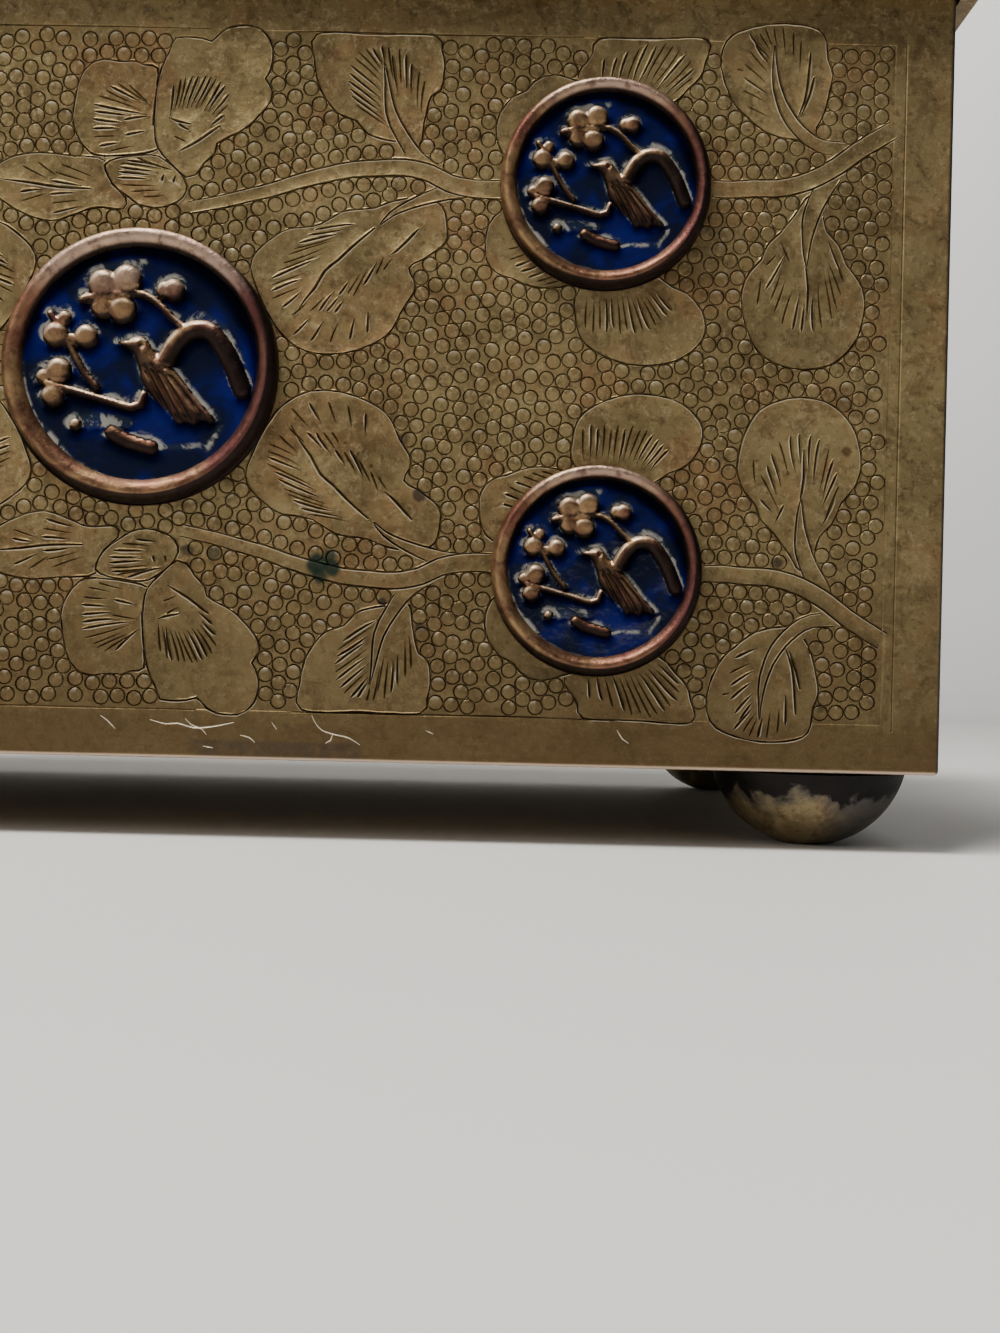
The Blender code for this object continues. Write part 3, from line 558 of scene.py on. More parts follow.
    def skin(self):
        """The panel's outer surface as points with a depth, triangles, and each point's share of grime, or of
        painted highlight below 0.
        """
        self.add_rings()
        if self.ground_box and self.ground > 0:
            lu, lv, hu, hv = self.ground_box
            for inset in (0, self.STEP):
                self.path(corners(lu + inset, lv + inset, hu - inset, hv - inset), True)
        self.path(corners(-self.half_u, -self.half_v, self.half_u, self.half_v), True)
        found, _, faces, *_ = delaunay_2d_cdt([Vector(p) for p in self.points], self.edges, [], 0, 0.0005)
        spots = np.array([tuple(p) for p in found])
        depth, cut = self.depths(spots)
        on_edge = (np.abs(spots[:, 0]) > self.half_u - 1e-4) | (np.abs(spots[:, 1]) > self.half_v - 1e-4)
        depth[on_edge] = 0.0
        return spots, depth, faces, cut


class PlainPanel(Panel):
    """A panel whose rings are simpler: two circles each."""

    RING = ((0.86, 0.0), (0.75, 0.13))
    RING_SHADES = (0.30, 1.0)


def standing(origin, right, up):
    """Puts a thing drawn in metres on a face, at a place in millimetres."""
    right, up = Vector(right), Vector(up)
    axes = Matrix((right, up, right.cross(up))).transposed().to_4x4()
    return Matrix.Translation(Vector(origin) * MM) @ axes


def facing(origin, right, up):
    """Puts a drawing in millimetres on a face: u along right, v along up, w outwards."""
    return standing(origin, right, up) @ Matrix.Scale(MM, 4)


def new_object(name, mesh, look, node, place=None):
    """A shown piece that rides with the box and takes a solid's place."""
    obj = bpy.data.objects.new(name, mesh)
    bpy.context.scene.collection.objects.link(obj)
    if not mesh.materials:
        mesh.materials.append(look)
    if place is not None:
        obj.matrix_world = place
        bpy.context.view_layer.update()
    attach(obj, "root")
    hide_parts(node)


def block(low, high):
    """A block between two corners, for further work."""
    shape = bmesh.new()
    bmesh.ops.create_cube(shape, size=1.0)
    for vert in shape.verts:
        vert.co = Vector(high[i] if vert.co[i] > 0 else low[i] for i in range(3))
    return shape


def plate_mesh(name, panel, place, thickness, rounding, rounded):
    """A sheet with a chased face: its outer edges rounded on the sides asked for, closed behind."""
    left, right, bottom, top = (rounding * (side in rounded) for side in ("left", "right", "low", "high"))
    low = (-panel.half_u - left, -panel.half_v - bottom, -thickness)
    high = (panel.half_u + right, panel.half_v + top, 0.0)
    shape = block(low, high)
    sides = (("left", 0, low[0]), ("right", 0, high[0]), ("low", 1, low[1]), ("high", 1, high[1]))
    picked = []
    for edge in shape.edges:
        middle = (edge.verts[0].co + edge.verts[1].co) / 2
        touched = sum(side in rounded and abs(middle[axis] - reach) < 1e-3 for side, axis, reach in sides)
        if touched == 2 or (touched and abs(middle.z) < 1e-6):
            picked.append(edge)
    if picked:
        bmesh.ops.bevel(shape, geom=picked, offset=rounding, segments=5, profile=0.5, affect="EDGES",
                        clamp_overlap=False)
    flat = [f for f in shape.faces if f.normal.z > 0.999 and abs(f.calc_center_median().z) < 1e-6]
    bmesh.ops.delete(shape, geom=flat, context="FACES_ONLY")
    shape.verts.index_update()
    points = [tuple(v.co) for v in shape.verts]
    faces = [[v.index for v in f.verts] for f in shape.faces]
    shape.free()
    offset = len(points)
    spots, depth, triangles, cut = panel.skin()
    points += [(float(u), float(v), -float(d)) for (u, v), d in zip(spots, depth)]
    faces += [[i + offset for i in triangle] for triangle in triangles]
    mesh = bpy.data.meshes.new(name)
    mesh.from_pydata(points, [], faces)
    grime_and_painted_light = mesh.attributes.new("grime_and_painted_light", "FLOAT", "POINT")
    grime_and_painted_light.data.foreach_set("value", [0.0] * offset + [float(c) for c in cut])
    # The skin is welded to the sheet's edge
    welded = bmesh.new()
    welded.from_mesh(mesh)
    rim = [v for v in welded.verts if v.link_faces and v.is_boundary]
    bmesh.ops.remove_doubles(welded, verts=rim, dist=0.002)
    loose = [v for v in welded.verts if not v.link_faces]
    bmesh.ops.delete(welded, geom=loose, context="VERTS")
    bmesh.ops.recalc_face_normals(welded, faces=welded.faces)

    def at_edge(co):
        return abs(abs(co.x) - panel.half_u) < 1e-3 or abs(abs(co.y) - panel.half_v) < 1e-3

    # The flat border keeps its own shading, apart from the rounded edge beside it
    turned = [i for i, edge in enumerate(welded.edges)
              if all(abs(v.co.z) < 1e-4 and at_edge(v.co) for v in edge.verts)]
    bmesh.ops.transform(welded, matrix=place, verts=welded.verts)
    welded.to_mesh(mesh)
    welded.free()
    mesh.shade_smooth()
    mesh.set_sharp_from_angle(angle=math.radians(22))
    for i in turned:
        mesh.edges[i].use_edge_sharp = True
    return mesh


QUARTERS = [(side, down) for side in (1, -1) for down in (1, -1)]


def quarter(points, half_u, half_v, side, down):
    """A quarter drawing's points on a panel: side 1 is the right half, down 1 the lower half."""
    return [(side * x * half_u / DRAWING_W, -down * (1 - y / DRAWING_H) * half_v) for x, y in points]


def leaves_of(panel, half_u, half_v, shift, names, stems):
    """Draws the quarter pattern four times, stems first because they lie over the leaves."""
    def on(points, side, down):
        return [(u, v + shift) for u, v in quarter(points, half_u, half_v, side, down)]

    def on_leaf(points):
        return any(inside(np.array(points), np.array(LEAVES[name])).any() for name in names)

    for side, down in QUARTERS:
        for i in stems:
            points, widths = STEMS[i]
            # On the left, the flower's side leaf stands where the first stem would start
            panel.branch(on(points[5:] if side < 0 and i == 0 else points, side, down), widths)
    for down in (1, -1):
        for stroke in PETAL_STROKES:
            panel.stroke(*on([stroke[:2], stroke[2:]], 1, down))
        for vein in PETAL_VEINS:
            panel.groove(smoothed(on(vein, 1, down), False, 1.0), False, 0.34, 0.2)
        for outline in [BUD] + PETALS:
            panel.shape(on(outline, 1, down))
    for side, down in QUARTERS:
        for stroke in STROKES:
            ends = [stroke[:2], stroke[2:]]
            if on_leaf(ends):
                panel.stroke(*on(ends, side, down))
        for vein in VEINS:
            if on_leaf(vein):
                panel.groove(smoothed(on(vein, side, down), False, 1.0), False, 0.36, 0.22)
        for name in names:
            panel.shape(on(LEAVES[name], side, down))


# Colours as linear red, green and blue. Brass: its two tones, then what lies over them
OLIVE, OLIVE_DARK, RED_BROWN = (0.315, 0.240, 0.112), (0.235, 0.175, 0.078), (0.27, 0.155, 0.070)
UMBER, UMBER_SPECKS = (0.115, 0.074, 0.032), (0.10, 0.066, 0.032)
GLEAM, PITS = (0.52, 0.41, 0.23), (0.085, 0.055, 0.026)
# Painted shade darkening the lower border, and a stain; then a painted highlight along the lower edge and
# painted shade on the right edge
LOW_PAINTED_SHADE, LOWEST_PAINTED_SHADE, STAIN = (0.11, 0.074, 0.034), (0.095, 0.057, 0.026), (0.065, 0.052, 0.040)
EDGE_PAINTED_HIGHLIGHT, SIDE_EDGE_PAINTED_SHADE = (0.78, 0.60, 0.46), (0.05, 0.045, 0.04)
CUT_GRIME, CUT_BRIGHT = (0.050, 0.034, 0.015), (0.95, 0.88, 0.72)
LID_LIGHT, FOOT_TONES = (0.34, 0.262, 0.135), ((0.44, 0.35, 0.18), (0.20, 0.16, 0.09))
# A foot's painted reflection, and painted shade and shadow on its top
FOOT_PAINTED_REFLECTION, FOOT_PAINTED_SHADE, FOOT_PAINTED_SHADOW = (0.125, 0.118, 0.110), (0.075, 0.072, 0.070), (0.010, 0.009, 0.010)
VERDIGRIS, SOOT, RUST = (0.016, 0.034, 0.024), (0.035, 0.028, 0.024), (0.10, 0.045, 0.018)
# Copper: its tones, then plum painted shade to the right, a painted highlight on the top, specks, soot with
# painted shade, and painted highlights
COPPER_DARK, COPPER_GOLD, COPPER_RED = (0.13, 0.062, 0.036), (0.30, 0.185, 0.092), (0.18, 0.055, 0.045)
COPPER_PLUM_PAINTED_SHADE, COPPER_TOP_PAINTED_HIGHLIGHT, COPPER_SPECKS = (0.095, 0.028, 0.032), (0.60, 0.44, 0.34), (0.07, 0.028, 0.021)
COPPER_SOOT_AND_SHADE, COPPER_PAINTED_HIGHLIGHT = (0.014, 0.009, 0.008), (0.62, 0.47, 0.33)
# Enamel: its tones, painted shadow, and a film and polish that also carry painted highlight
ENAMEL_DEEP, ENAMEL_BLUE = (0.0024, 0.0046, 0.0190), (0.0022, 0.0058, 0.1000)
ENAMEL_PAINTED_SHADOW, ENAMEL_FILM_AND_HIGHLIGHT, ENAMEL_POLISH_AND_HIGHLIGHT = (0.0012, 0.0013, 0.0024), (0.022, 0.036, 0.046), (0.34, 0.33, 0.29)
# The studio
FLOOR_TONES = (0.74, 0.73, 0.71), (0.78, 0.77, 0.75)


class Look:
    """A node material, built in a few words."""

    def __init__(self, name, **values):
        self.material = bpy.data.materials.new(name)
        self.material.use_nodes = True
        self.tree = self.material.node_tree
        self.shader = self.tree.nodes["Principled BSDF"]
        for key, value in values.items():
            self.shader.inputs[key.replace("_", " ")].default_value = value
        self.coords = self.node("ShaderNodeTexCoord").outputs["Object"]
        self.tone = None

    def node(self, kind, **settings):
        made = self.tree.nodes.new(kind)
        for key, value in settings.items():
            setattr(made, key, value)
        return made

    def put(self, value, socket):
        """Links an output to a socket, or sets the socket's own value."""
        if isinstance(value, bpy.types.NodeSocket):
            self.tree.links.new(value, socket)
        else:
            socket.default_value = value

    def noise(self, scale, detail=4.0, rough=0.55, stretch=None, turn=(0, 0, 0), warp=0.0):
        where = self.coords
        if stretch:
            mapping = self.node("ShaderNodeMapping")
            mapping.inputs["Scale"].default_value = stretch
            mapping.inputs["Rotation"].default_value = turn
            self.put(where, mapping.inputs["Vector"])
            where = mapping.outputs["Vector"]
        made = self.node("ShaderNodeTexNoise")
        self.put(where, made.inputs["Vector"])
        for key, value in (("Scale", scale), ("Detail", detail), ("Roughness", rough), ("Distortion", warp)):
            made.inputs[key].default_value = value
        return made.outputs["Fac"]

    def span(self, value, low, high, to_low=0.0, to_high=1.0):
        """Goes smoothly from one value to another while an input goes from low to high."""
        made = self.node("ShaderNodeMapRange", interpolation_type="SMOOTHSTEP")
        for key, number in (("Value", value), ("From Min", low), ("From Max", high), ("To Min", to_low),
                            ("To Max", to_high)):
            self.put(number, made.inputs[key])
        return made.outputs["Result"]

    def math(self, operation, a, b):
        made = self.node("ShaderNodeMath", operation=operation)
        self.put(a, made.inputs[0])
        self.put(b, made.inputs[1])
        return made.outputs[0]

    def times(self, a, b):
        return self.math("MULTIPLY", a, b)

    def mix(self, share, a, b):
        made = self.node("ShaderNodeMix", data_type="RGBA")
        self.put(share, made.inputs["Factor"])
        for socket, value in ((made.inputs[6], a), (made.inputs[7], b)):
            self.put((*value, 1.0) if isinstance(value, tuple) else value, socket)
        return made.outputs[2]

    def lay(self, shade, value, low, high, share=1.0, first=0.0):
        """Lays a colour over the tone, from the first share to the other as a value goes from low to high."""
        self.tone = self.mix(self.span(value, low, high, first, share), self.tone, shade)

    def axis(self, number):
        split = self.node("ShaderNodeSeparateXYZ")
        self.put(self.coords, split.inputs[0])
        return split.outputs[number]

    def attribute(self, name):
        return self.node("ShaderNodeAttribute", attribute_name=name).outputs["Fac"]

    def spot(self, centre, radius):
        """1 within a ball about a place in metres, fading to 0 at its edge, with a ragged outline."""
        away = self.node("ShaderNodeVectorMath", operation="DISTANCE")
        self.put(self.coords, away.inputs[0])
        away.inputs[1].default_value = centre
        ragged = self.math("ADD", away.outputs["Value"], self.times(self.noise(500, 3), radius * 0.7))
        return self.span(ragged, radius * 0.85, radius * 1.35, 1.0, 0.0)

    def bump(self, *layers):
        """Adds bumps: pairs of height and distance in metres."""
        normal = None
        for height, distance in layers:
            made = self.node("ShaderNodeBump")
            made.inputs["Strength"].default_value = 1.0
            made.inputs["Distance"].default_value = distance
            self.put(height, made.inputs["Height"])
            if normal:
                self.put(normal, made.inputs["Normal"])
            normal = made.outputs["Normal"]
        self.put(normal, self.shader.inputs["Normal"])

    def finish(self, rough):
        self.put(self.tone, self.shader.inputs["Base Color"])
        self.put(rough, self.shader.inputs["Roughness"])
        return self.material


def on_front(x, z):
    """A place on the front wall in metres, from millimetres off the middle of its lower edge."""
    return (x * MM, -HALF_D * MM, (BODY_Z + z) * MM)


def front_dirt_and_painted_light(look):
    """The front's lower border and edges: painted shade darkening towards the bottom, a stain, a painted
    highlight along the lowest line and painted shade on the right side's edge.
    """
    def up(z):
        return on_front(0, z)[2]

    ragged = look.noise(260, 4, 0.65, warp=0.6)
    low = look.math("ADD", look.axis(2), look.times(ragged, 0.0040))
    # Painted shade: the brass darkens towards the bottom, below a ragged line
    look.lay(LOW_PAINTED_SHADE, low, up(8.0), up(34.0), 0.0, 0.58)
    look.lay(LOWEST_PAINTED_SHADE, low, up(5.2), up(8.5), 0.0, 0.52)
    from_left = look.span(look.axis(0), 0.0050, 0.0068)
    to_right = look.span(look.axis(0), 0.0232, 0.0238, 1.0, 0.0)
    stain = look.times(look.span(look.axis(2), up(1.7), up(2.2), 1.0, 0.0), look.times(from_left, to_right))
    stain = look.times(stain, look.span(look.noise(700, 3, 0.6), 0.35, 0.55, 0.2, 0.55))
    look.tone = look.mix(stain, look.tone, STAIN)
    # Painted highlight along the lowest edge, standing in for the rounded edge catching light
    look.lay(EDGE_PAINTED_HIGHLIGHT, look.axis(2), up(0.12), up(0.42), 0.0, 0.85)
    # Painted shade on the front's rounded right edge
    side_edge = look.times(look.span(look.axis(0), (HALF_W - 0.45) * MM, (HALF_W - 0.2) * MM),
                           look.span(look.axis(1), (0.3 - HALF_D) * MM, (0.7 - HALF_D) * MM, 0.85, 0.0))
    look.tone = look.mix(side_edge, look.tone, SIDE_EDGE_PAINTED_SHADE)


def foot_painted_light(look):
    """A foot's painted grey reflection on its outer half and painted shadow over its ragged top."""
    upper = look.math("ADD", look.axis(2), look.times(look.noise(170, 5, 0.60, warp=0.25), 0.0105))
    look.lay(FOOT_PAINTED_REFLECTION, look.axis(0), -0.0010, 0.0045, 0.88)
    # Painted shadow of the box over the foot's top
    look.lay(FOOT_PAINTED_SHADE, upper, 0.0088, 0.0112, 0.75)
    look.lay(FOOT_PAINTED_SHADOW, upper, 0.0106, 0.0114, 0.95)


def brass(name, light=OLIVE, dark=OLIVE_DARK, spots=(), chased=True, dirt_and_painted_light=None):
    """Old brass: an olive-brown skin with reddish and dark blotches, fine scratches, grime in the cuts."""
    look = Look(name, Metallic=0.9)
    look.tone = look.mix(look.span(look.noise(38, 3, 0.6, warp=0.6), 0.36, 0.66), dark, light)
    look.lay(RED_BROWN, look.noise(120, 5, 0.62, warp=1.2), 0.47, 0.66, 0.65)
    look.lay(UMBER, look.noise(330, 5, 0.75, warp=0.8), 0.45, 0.66, 0.62)
    look.lay(UMBER_SPECKS, look.noise(760, 3, 0.7), 0.56, 0.70, 0.55)
    fine = look.noise(1500, 4, 0.75)
    look.lay(GLEAM, fine, 0.50, 0.68, 0.42)
    look.lay(PITS, look.noise(1100, 4, 0.75), 0.55, 0.68, 0.60)
    if dirt_and_painted_light:
        dirt_and_painted_light(look)
    if chased:
        cut = look.attribute("grime_and_painted_light")
        look.lay(CUT_GRIME, cut, 0.15, 1.0, 0.78)
        # Bright where the attribute is below 0: worn scratches, and painted highlights on the cuts' lips and
        # the rings' tops
        look.lay(CUT_BRIGHT, cut, -0.03, -0.9, 0.95)
    for (x, z), radius, shade, share in spots:
        look.tone = look.mix(look.times(look.spot(on_front(x, z), radius), share), look.tone, shade)
    scratches = look.noise(90, 2, 0.5, stretch=(1.0, 1.0, 26.0), turn=(0.0, 0.5, 0.0))
    across = look.noise(70, 2, 0.5, stretch=(1.0, 1.0, 30.0), turn=(0.0, 1.9, 0.0))
    look.bump((look.noise(90, 2, 0.5), 0.00035), (look.noise(700, 4, 0.6), 0.00007),
              (scratches, 0.000010), (across, 0.000012), (fine, 0.000045))
    return look.finish(look.span(look.noise(160, 4, 0.6), 0.3, 0.75, 0.44, 0.60))


def copper_look():
    """Darkened copper with a painted highlight on its top and plum-red painted shade to the right. Above 0
    the attribute darkens with grime and painted shade; below 0 it shows a painted highlight.
    """
    look = Look("medallion_copper", Metallic=0.88)
    grime_and_painted_light = look.attribute("grime_and_painted_light")
    look.tone = look.mix(look.span(look.noise(240, 4, 0.6, warp=0.8), 0.38, 0.62), COPPER_DARK, COPPER_GOLD)
    look.lay(COPPER_RED, look.noise(80, 3, 0.6), 0.48, 0.64, 0.55)
    # Painted shade, plum-red, over the right side
    look.lay(COPPER_PLUM_PAINTED_SHADE, look.axis(0), 0.0035, 0.0095, 0.80)
    # Painted highlight over the upper part
    look.lay(COPPER_TOP_PAINTED_HIGHLIGHT, look.axis(1), 0.0065, 0.0105, 0.55)
    look.lay(COPPER_SPECKS, look.noise(800, 4, 0.65), 0.50, 0.70, 0.65)
    # Soot and painted shade where the attribute is above 0
    look.lay(COPPER_SOOT_AND_SHADE, grime_and_painted_light, 0.02, 0.80, 0.95)
    # Painted highlight on the figures' upper edges, below 0
    look.lay(COPPER_PAINTED_HIGHLIGHT, grime_and_painted_light, -0.10, -0.70, 0.80)
    look.bump((look.noise(420, 3, 0.55), 0.00022), (look.noise(1900, 4, 0.7), 0.00007))
    return look.finish(look.span(look.noise(700, 3, 0.6), 0.3, 0.7, 0.36, 0.56))


def enamel_look():
    """Cobalt enamel, glossy and deep: painted highlight and old polish above the figures, black painted
    shadow under them.
    """
    look = Look("cobalt_enamel", Metallic=0.0, Specular_IOR_Level=0.40)
    look.tone = look.mix(look.span(look.noise(150, 3, 0.55, warp=0.6), 0.42, 0.66), ENAMEL_DEEP, ENAMEL_BLUE)
    dust_and_painted_light = look.attribute("dust_and_painted_light")
    ragged = look.times(dust_and_painted_light, look.span(look.noise(380, 5, 0.70, warp=1.2), 0.40, 0.60, 0.05, 1.0))
    # Painted shadow where the attribute is below 0
    look.lay(ENAMEL_PAINTED_SHADOW, dust_and_painted_light, -0.05, -0.75, 0.85)
    # Painted highlight and old polish where the attribute is above 0
    look.lay(ENAMEL_FILM_AND_HIGHLIGHT, dust_and_painted_light, 0.05, 0.8, 0.45)
    look.lay(ENAMEL_POLISH_AND_HIGHLIGHT, ragged, 0.15, 0.75, 0.80)
    look.put(look.span(dust_and_painted_light, -0.02, -0.35, 0.40, 0.0), look.shader.inputs["Specular IOR Level"])
    look.bump((look.noise(240, 3, 0.5), 0.00025), (look.noise(1500, 3, 0.6), 0.00003))
    return look.finish(look.span(ragged, 0.05, 0.6, 0.16, 0.65))


BRASS = brass("brass_body")
BRASS_LID = brass("brass_lid_sheet", LID_LIGHT)
BRASS_FRONT = brass("brass_front", dirt_and_painted_light=front_dirt_and_painted_light, spots=(
    ((18.6, 20.3), 0.00135, VERDIGRIS, 0.93), ((20.1, 19.9), 0.00120, VERDIGRIS, 0.93),
    ((18.9, 19.0), 0.00100, VERDIGRIS, 0.85), ((19.9, 21.2), 0.00080, VERDIGRIS, 0.80),
    ((28.9, 27.6), 0.00085, SOOT, 0.80), ((27.2, 33.4), 0.00080, SOOT, 0.60),
    ((5.3, 21.4), 0.00085, SOOT, 0.70), ((7.9, 21.1), 0.00090, VERDIGRIS, 0.55),
    ((25.4, 16.6), 0.00060, SOOT, 0.85), ((29.3, 14.0), 0.00070, SOOT, 0.55),
    ((65.9, 21.5), 0.00070, SOOT, 0.70), ((70.6, 6.7), 0.00070, SOOT, 0.45),
    ((72.7, 33.1), 0.00072, RUST, 0.80), ((21.2, 32.8), 0.00025, RUST, 0.80),
    ((22.5, 31.7), 0.00025, RUST, 0.80), ((23.9, 30.5), 0.00028, RUST, 0.80),
    ((14.7, 28.9), 0.00030, RUST, 0.70), ((34.3, 14.4), 0.00050, VERDIGRIS, 0.40),
))


def wall_span(rounding):
    """Half of a wall's flat height, the height of its middle, and the face's middle above that."""
    half_v = (RIM_Z - BODY_Z - rounding) / 2
    middle = BODY_Z + rounding + half_v
    return half_v, middle, FACE_MID - middle


def front_panel():
    half_v, middle, shift = wall_span(FRONT_ROUND)
    # The rings that the photo shows closely have more sides
    panel = Panel(HALF_W - FRONT_ROUND, half_v, lambda u: 12 if u > -14 else 8, lips=True)
    panel.discs = [(0.0, shift, LARGE_R)]
    panel.discs += [(side * SMALL_U, down * SMALL_V + shift, SMALL_R) for side, down in QUARTERS]
    high = FACE_H / 2 - BORDER
    ground_u = HALF_W - RINGS_FROM_SIDE
    panel.ground_box = (-ground_u, shift - high, ground_u, shift + high)
    leaves_of(panel, HALF_W, FACE_H / 2, shift, LEAVES, range(len(STEMS)))
    line_shares = (0.8, 1, 1, 0.8)
    for side in (1, -1):
        u = side * (HALF_W - BORDER)
        panel.groove([(u, shift - high - 0.6), (u, shift), (u, shift + high)], False, 0.26, 0.09, line_shares,
                     lip=False, shade=0.5)
        v = shift - side * high
        line = [(u, v + DRAW.uniform(-0.06, 0.06)) for u in np.linspace(-57.5, 57.5, 28)]
        panel.groove(line, False, 0.26, 0.16, line_shares, lip=False)
    panel.punch()
    for scratch in SCRATCHES:
        line = smoothed([(x, y - FACE_H / 2 + shift) for x, y in scratch], False, 0.5)
        panel.groove(line, False, 0.17, 0.05, (0.5, 1, 1, 0.5), lip=False, shade=-1.0)
    return panel, facing((0, -HALF_D, middle), X, Z)


# An end wall's leaf, as shares of a quarter of its ground, and the leaf's middle vein
END_LEAF = [(0.20, 0.30), (0.24, 0.52), (0.36, 0.76), (0.50, 0.90), (0.68, 0.93), (0.88, 0.88), (0.92, 0.74),
            (0.88, 0.54), (0.74, 0.36), (0.60, 0.24), (0.44, 0.20)]
END_VEIN = [(0.29, 0.33), (0.50, 0.56), (0.80, 0.80)]


def end_panel(origin, right):
    """Four leaves on two stems, about a small medallion."""
    half_v, middle, shift = wall_span(0.0)
    panel = PlainPanel(HALF_D - WALL, half_v, 9)
    panel.discs = [(0.0, shift, SMALL_R)]
    reach_u, reach_v = HALF_D - BORDER, FACE_H / 2 - BORDER
    panel.ground_box = (-reach_u, shift - reach_v, reach_u, shift + reach_v)
    for side in (1, -1):
        stem = [(0.15, 0.0), (0.5, 0.8), (0.93, 0.0)]
        panel.branch([(side * x * reach_u, shift + rise) for x, rise in stem], (2.6, 2.0, 0.8))
    for side, down in QUARTERS:
        def on(points):
            return [(side * x * reach_u, down * y * reach_v + shift) for x, y in points]

        panel.groove(smoothed(on(END_VEIN), False, 1.0), False, 0.4, 0.22)
        for i in range(7):
            t = 0.12 + 0.12 * i
            x, y = 0.29 + 0.5 * t, 0.36 + 0.46 * t
            panel.stroke(*on([(x - 0.02, y + 0.20 - 0.05 * t), (x + 0.02, y + 0.03)]))
            panel.stroke(*on([(x + 0.19 - 0.03 * t, y - 0.10 + 0.06 * t), (x + 0.05, y - 0.02)]))
        panel.shape(on(END_LEAF))
    panel.frame_lines(reach_u, reach_v, shift, 4, 0.28, 0.14, (0.8, 1, 1, 0.8))
    panel.punch()
    return panel, facing((*origin, middle), right, Z)


def back_panel():
    """Only two scribed lines."""
    half_v, middle, shift = wall_span(FRONT_ROUND)
    panel = Panel(HALF_W - FRONT_ROUND, half_v, 8)
    for inset in (BORDER, BORDER + 1.8):
        panel.frame_lines(HALF_W - inset, FACE_H / 2 - inset, shift, 9, 0.30, 0.15, (0.9, 1, 1, 0.9))
    return panel, facing((0, HALF_D, middle), LEFTWARDS, Z)


BLOSSOM_AT, BLOSSOM_R, BLOSSOM_TURN, BLOSSOM_PETALS = (47.7, 20.2), 8.0, 0.4, 5


def blossom(panel, x, y):
    """A flower of five petals: strokes on each, a ring at its middle and a lobed outline."""
    def at(radius, angle):
        return (x + radius * math.cos(angle), y + radius * math.sin(angle))

    for k in range(BLOSSOM_PETALS):
        a = BLOSSOM_TURN + (k + 0.5) * 2 * math.pi / BLOSSOM_PETALS
        for spread in (-0.28, 0.0, 0.28):
            panel.stroke(at(6.3, a + spread), at(3.0, a + spread * 0.7))
    panel.groove(circle(13, 1.7, 0.0, (x, y)), True, 0.4, 0.24)
    outline = []
    for k in range(40):
        a = BLOSSOM_TURN + k * 2 * math.pi / 40
        lobe = abs(math.sin((a - BLOSSOM_TURN) * BLOSSOM_PETALS / 2))
        outline.append(at(BLOSSOM_R * (0.56 + 0.44 * lobe**0.45), a))
    panel.groove(outline, True, 0.32, 0.26)
    panel.raised.append(np.array(outline))


def lid_panel():
    """Leaves, four blossoms and a large medallion."""
    panel = PlainPanel(LID_HALF_W - LID_ROUND, LID_HALF_D - LID_ROUND, 8)
    panel.discs = [(0.0, 0.0, LARGE_R)]
    reach_u, reach_v = LID_HALF_W - BORDER, LID_HALF_D - BORDER
    panel.ground_box = (-reach_u, -reach_v, reach_u, reach_v)
    for side, down in QUARTERS:
        blossom(panel, *quarter([BLOSSOM_AT], LID_HALF_W, LID_HALF_D, side, down)[0])
    leaves_of(panel, LID_HALF_W, LID_HALF_D, 0.0, ("broad", "tall", "corner"), (0, 2, 1))
    panel.frame_lines(reach_u, reach_v, 0.0, 9, 0.30, 0.16, (0.9, 1, 1, 0.9))
    panel.punch(pitch=1.72, fill=())
    return panel, facing((0, 0, LID_Z), X, Y)


SKIRT_END, SKIRT_PITCH = 2.0, 1.9


def skirt_panel(half_u, origin, right):
    """One side of the lid's skirt: a row of rings between two scribed lines."""
    half_v = (LID_Z - LID_WALL - FACE_TOP) / 2
    panel = Panel(half_u, half_v, 8)
    end = half_u - SKIRT_END
    for v in (-3.2, 3.2):
        panel.groove([(u, v) for u in np.linspace(-end, end, 24)], False, 0.30, 0.14, (0.9, 1, 1, 0.9))
    panel.ground_box = (-end, -1.6, end, 1.6)
    panel.ground = 0.0
    count = int((2 * half_u - 3 * SKIRT_END) / SKIRT_PITCH)
    panel.rings = [((i - (count - 1) / 2) * SKIRT_PITCH, 0.0) for i in range(count)]
    return panel, facing((*origin, FACE_TOP + half_v), right, Z)


# A sheet's thickness, the rounding of its edges, and the solid and slot that it stands for
BODY_SHEET = (WALL, FRONT_ROUND, "box_body", "brass")
LID_SHEET = (LID_WALL, LID_ROUND, "lid", "brass_lid")


def sheet(name, made, kind, look, rounded=()):
    """One sheet of the body or the lid, with the edges on the named sides rounded."""
    thickness, rounding, node, slot = kind
    new_object(name, plate_mesh(name, *made, thickness, rounding, rounded), look, node)


ENDS = ("left", "right")
sheet("wall_front", front_panel(), BODY_SHEET, BRASS_FRONT, (*ENDS, "low"))
sheet("wall_back", back_panel(), BODY_SHEET, BRASS, (*ENDS, "low"))
sheet("wall_right", end_panel((HALF_W, 0), Y), BODY_SHEET, BRASS)
sheet("wall_left", end_panel((-HALF_W, 0), FORWARDS), BODY_SHEET, BRASS)
sheet("lid_top", lid_panel(), LID_SHEET, BRASS_LID, (*ENDS, "low", "high"))
for side, half_u, origin, right, rounded in (
    ("front", LID_HALF_W - LID_ROUND, (0, -LID_HALF_D), X, ENDS),
    ("back", LID_HALF_W - LID_ROUND, (0, LID_HALF_D), LEFTWARDS, ENDS),
    ("right", LID_HALF_D - LID_WALL, (LID_HALF_W, 0), Y, ()),
    ("left", LID_HALF_D - LID_WALL, (-LID_HALF_W, 0), FORWARDS, ()),
):
    sheet(f"lid_skirt_{side}", skirt_panel(half_u, origin, right), LID_SHEET, BRASS_LID, rounded)


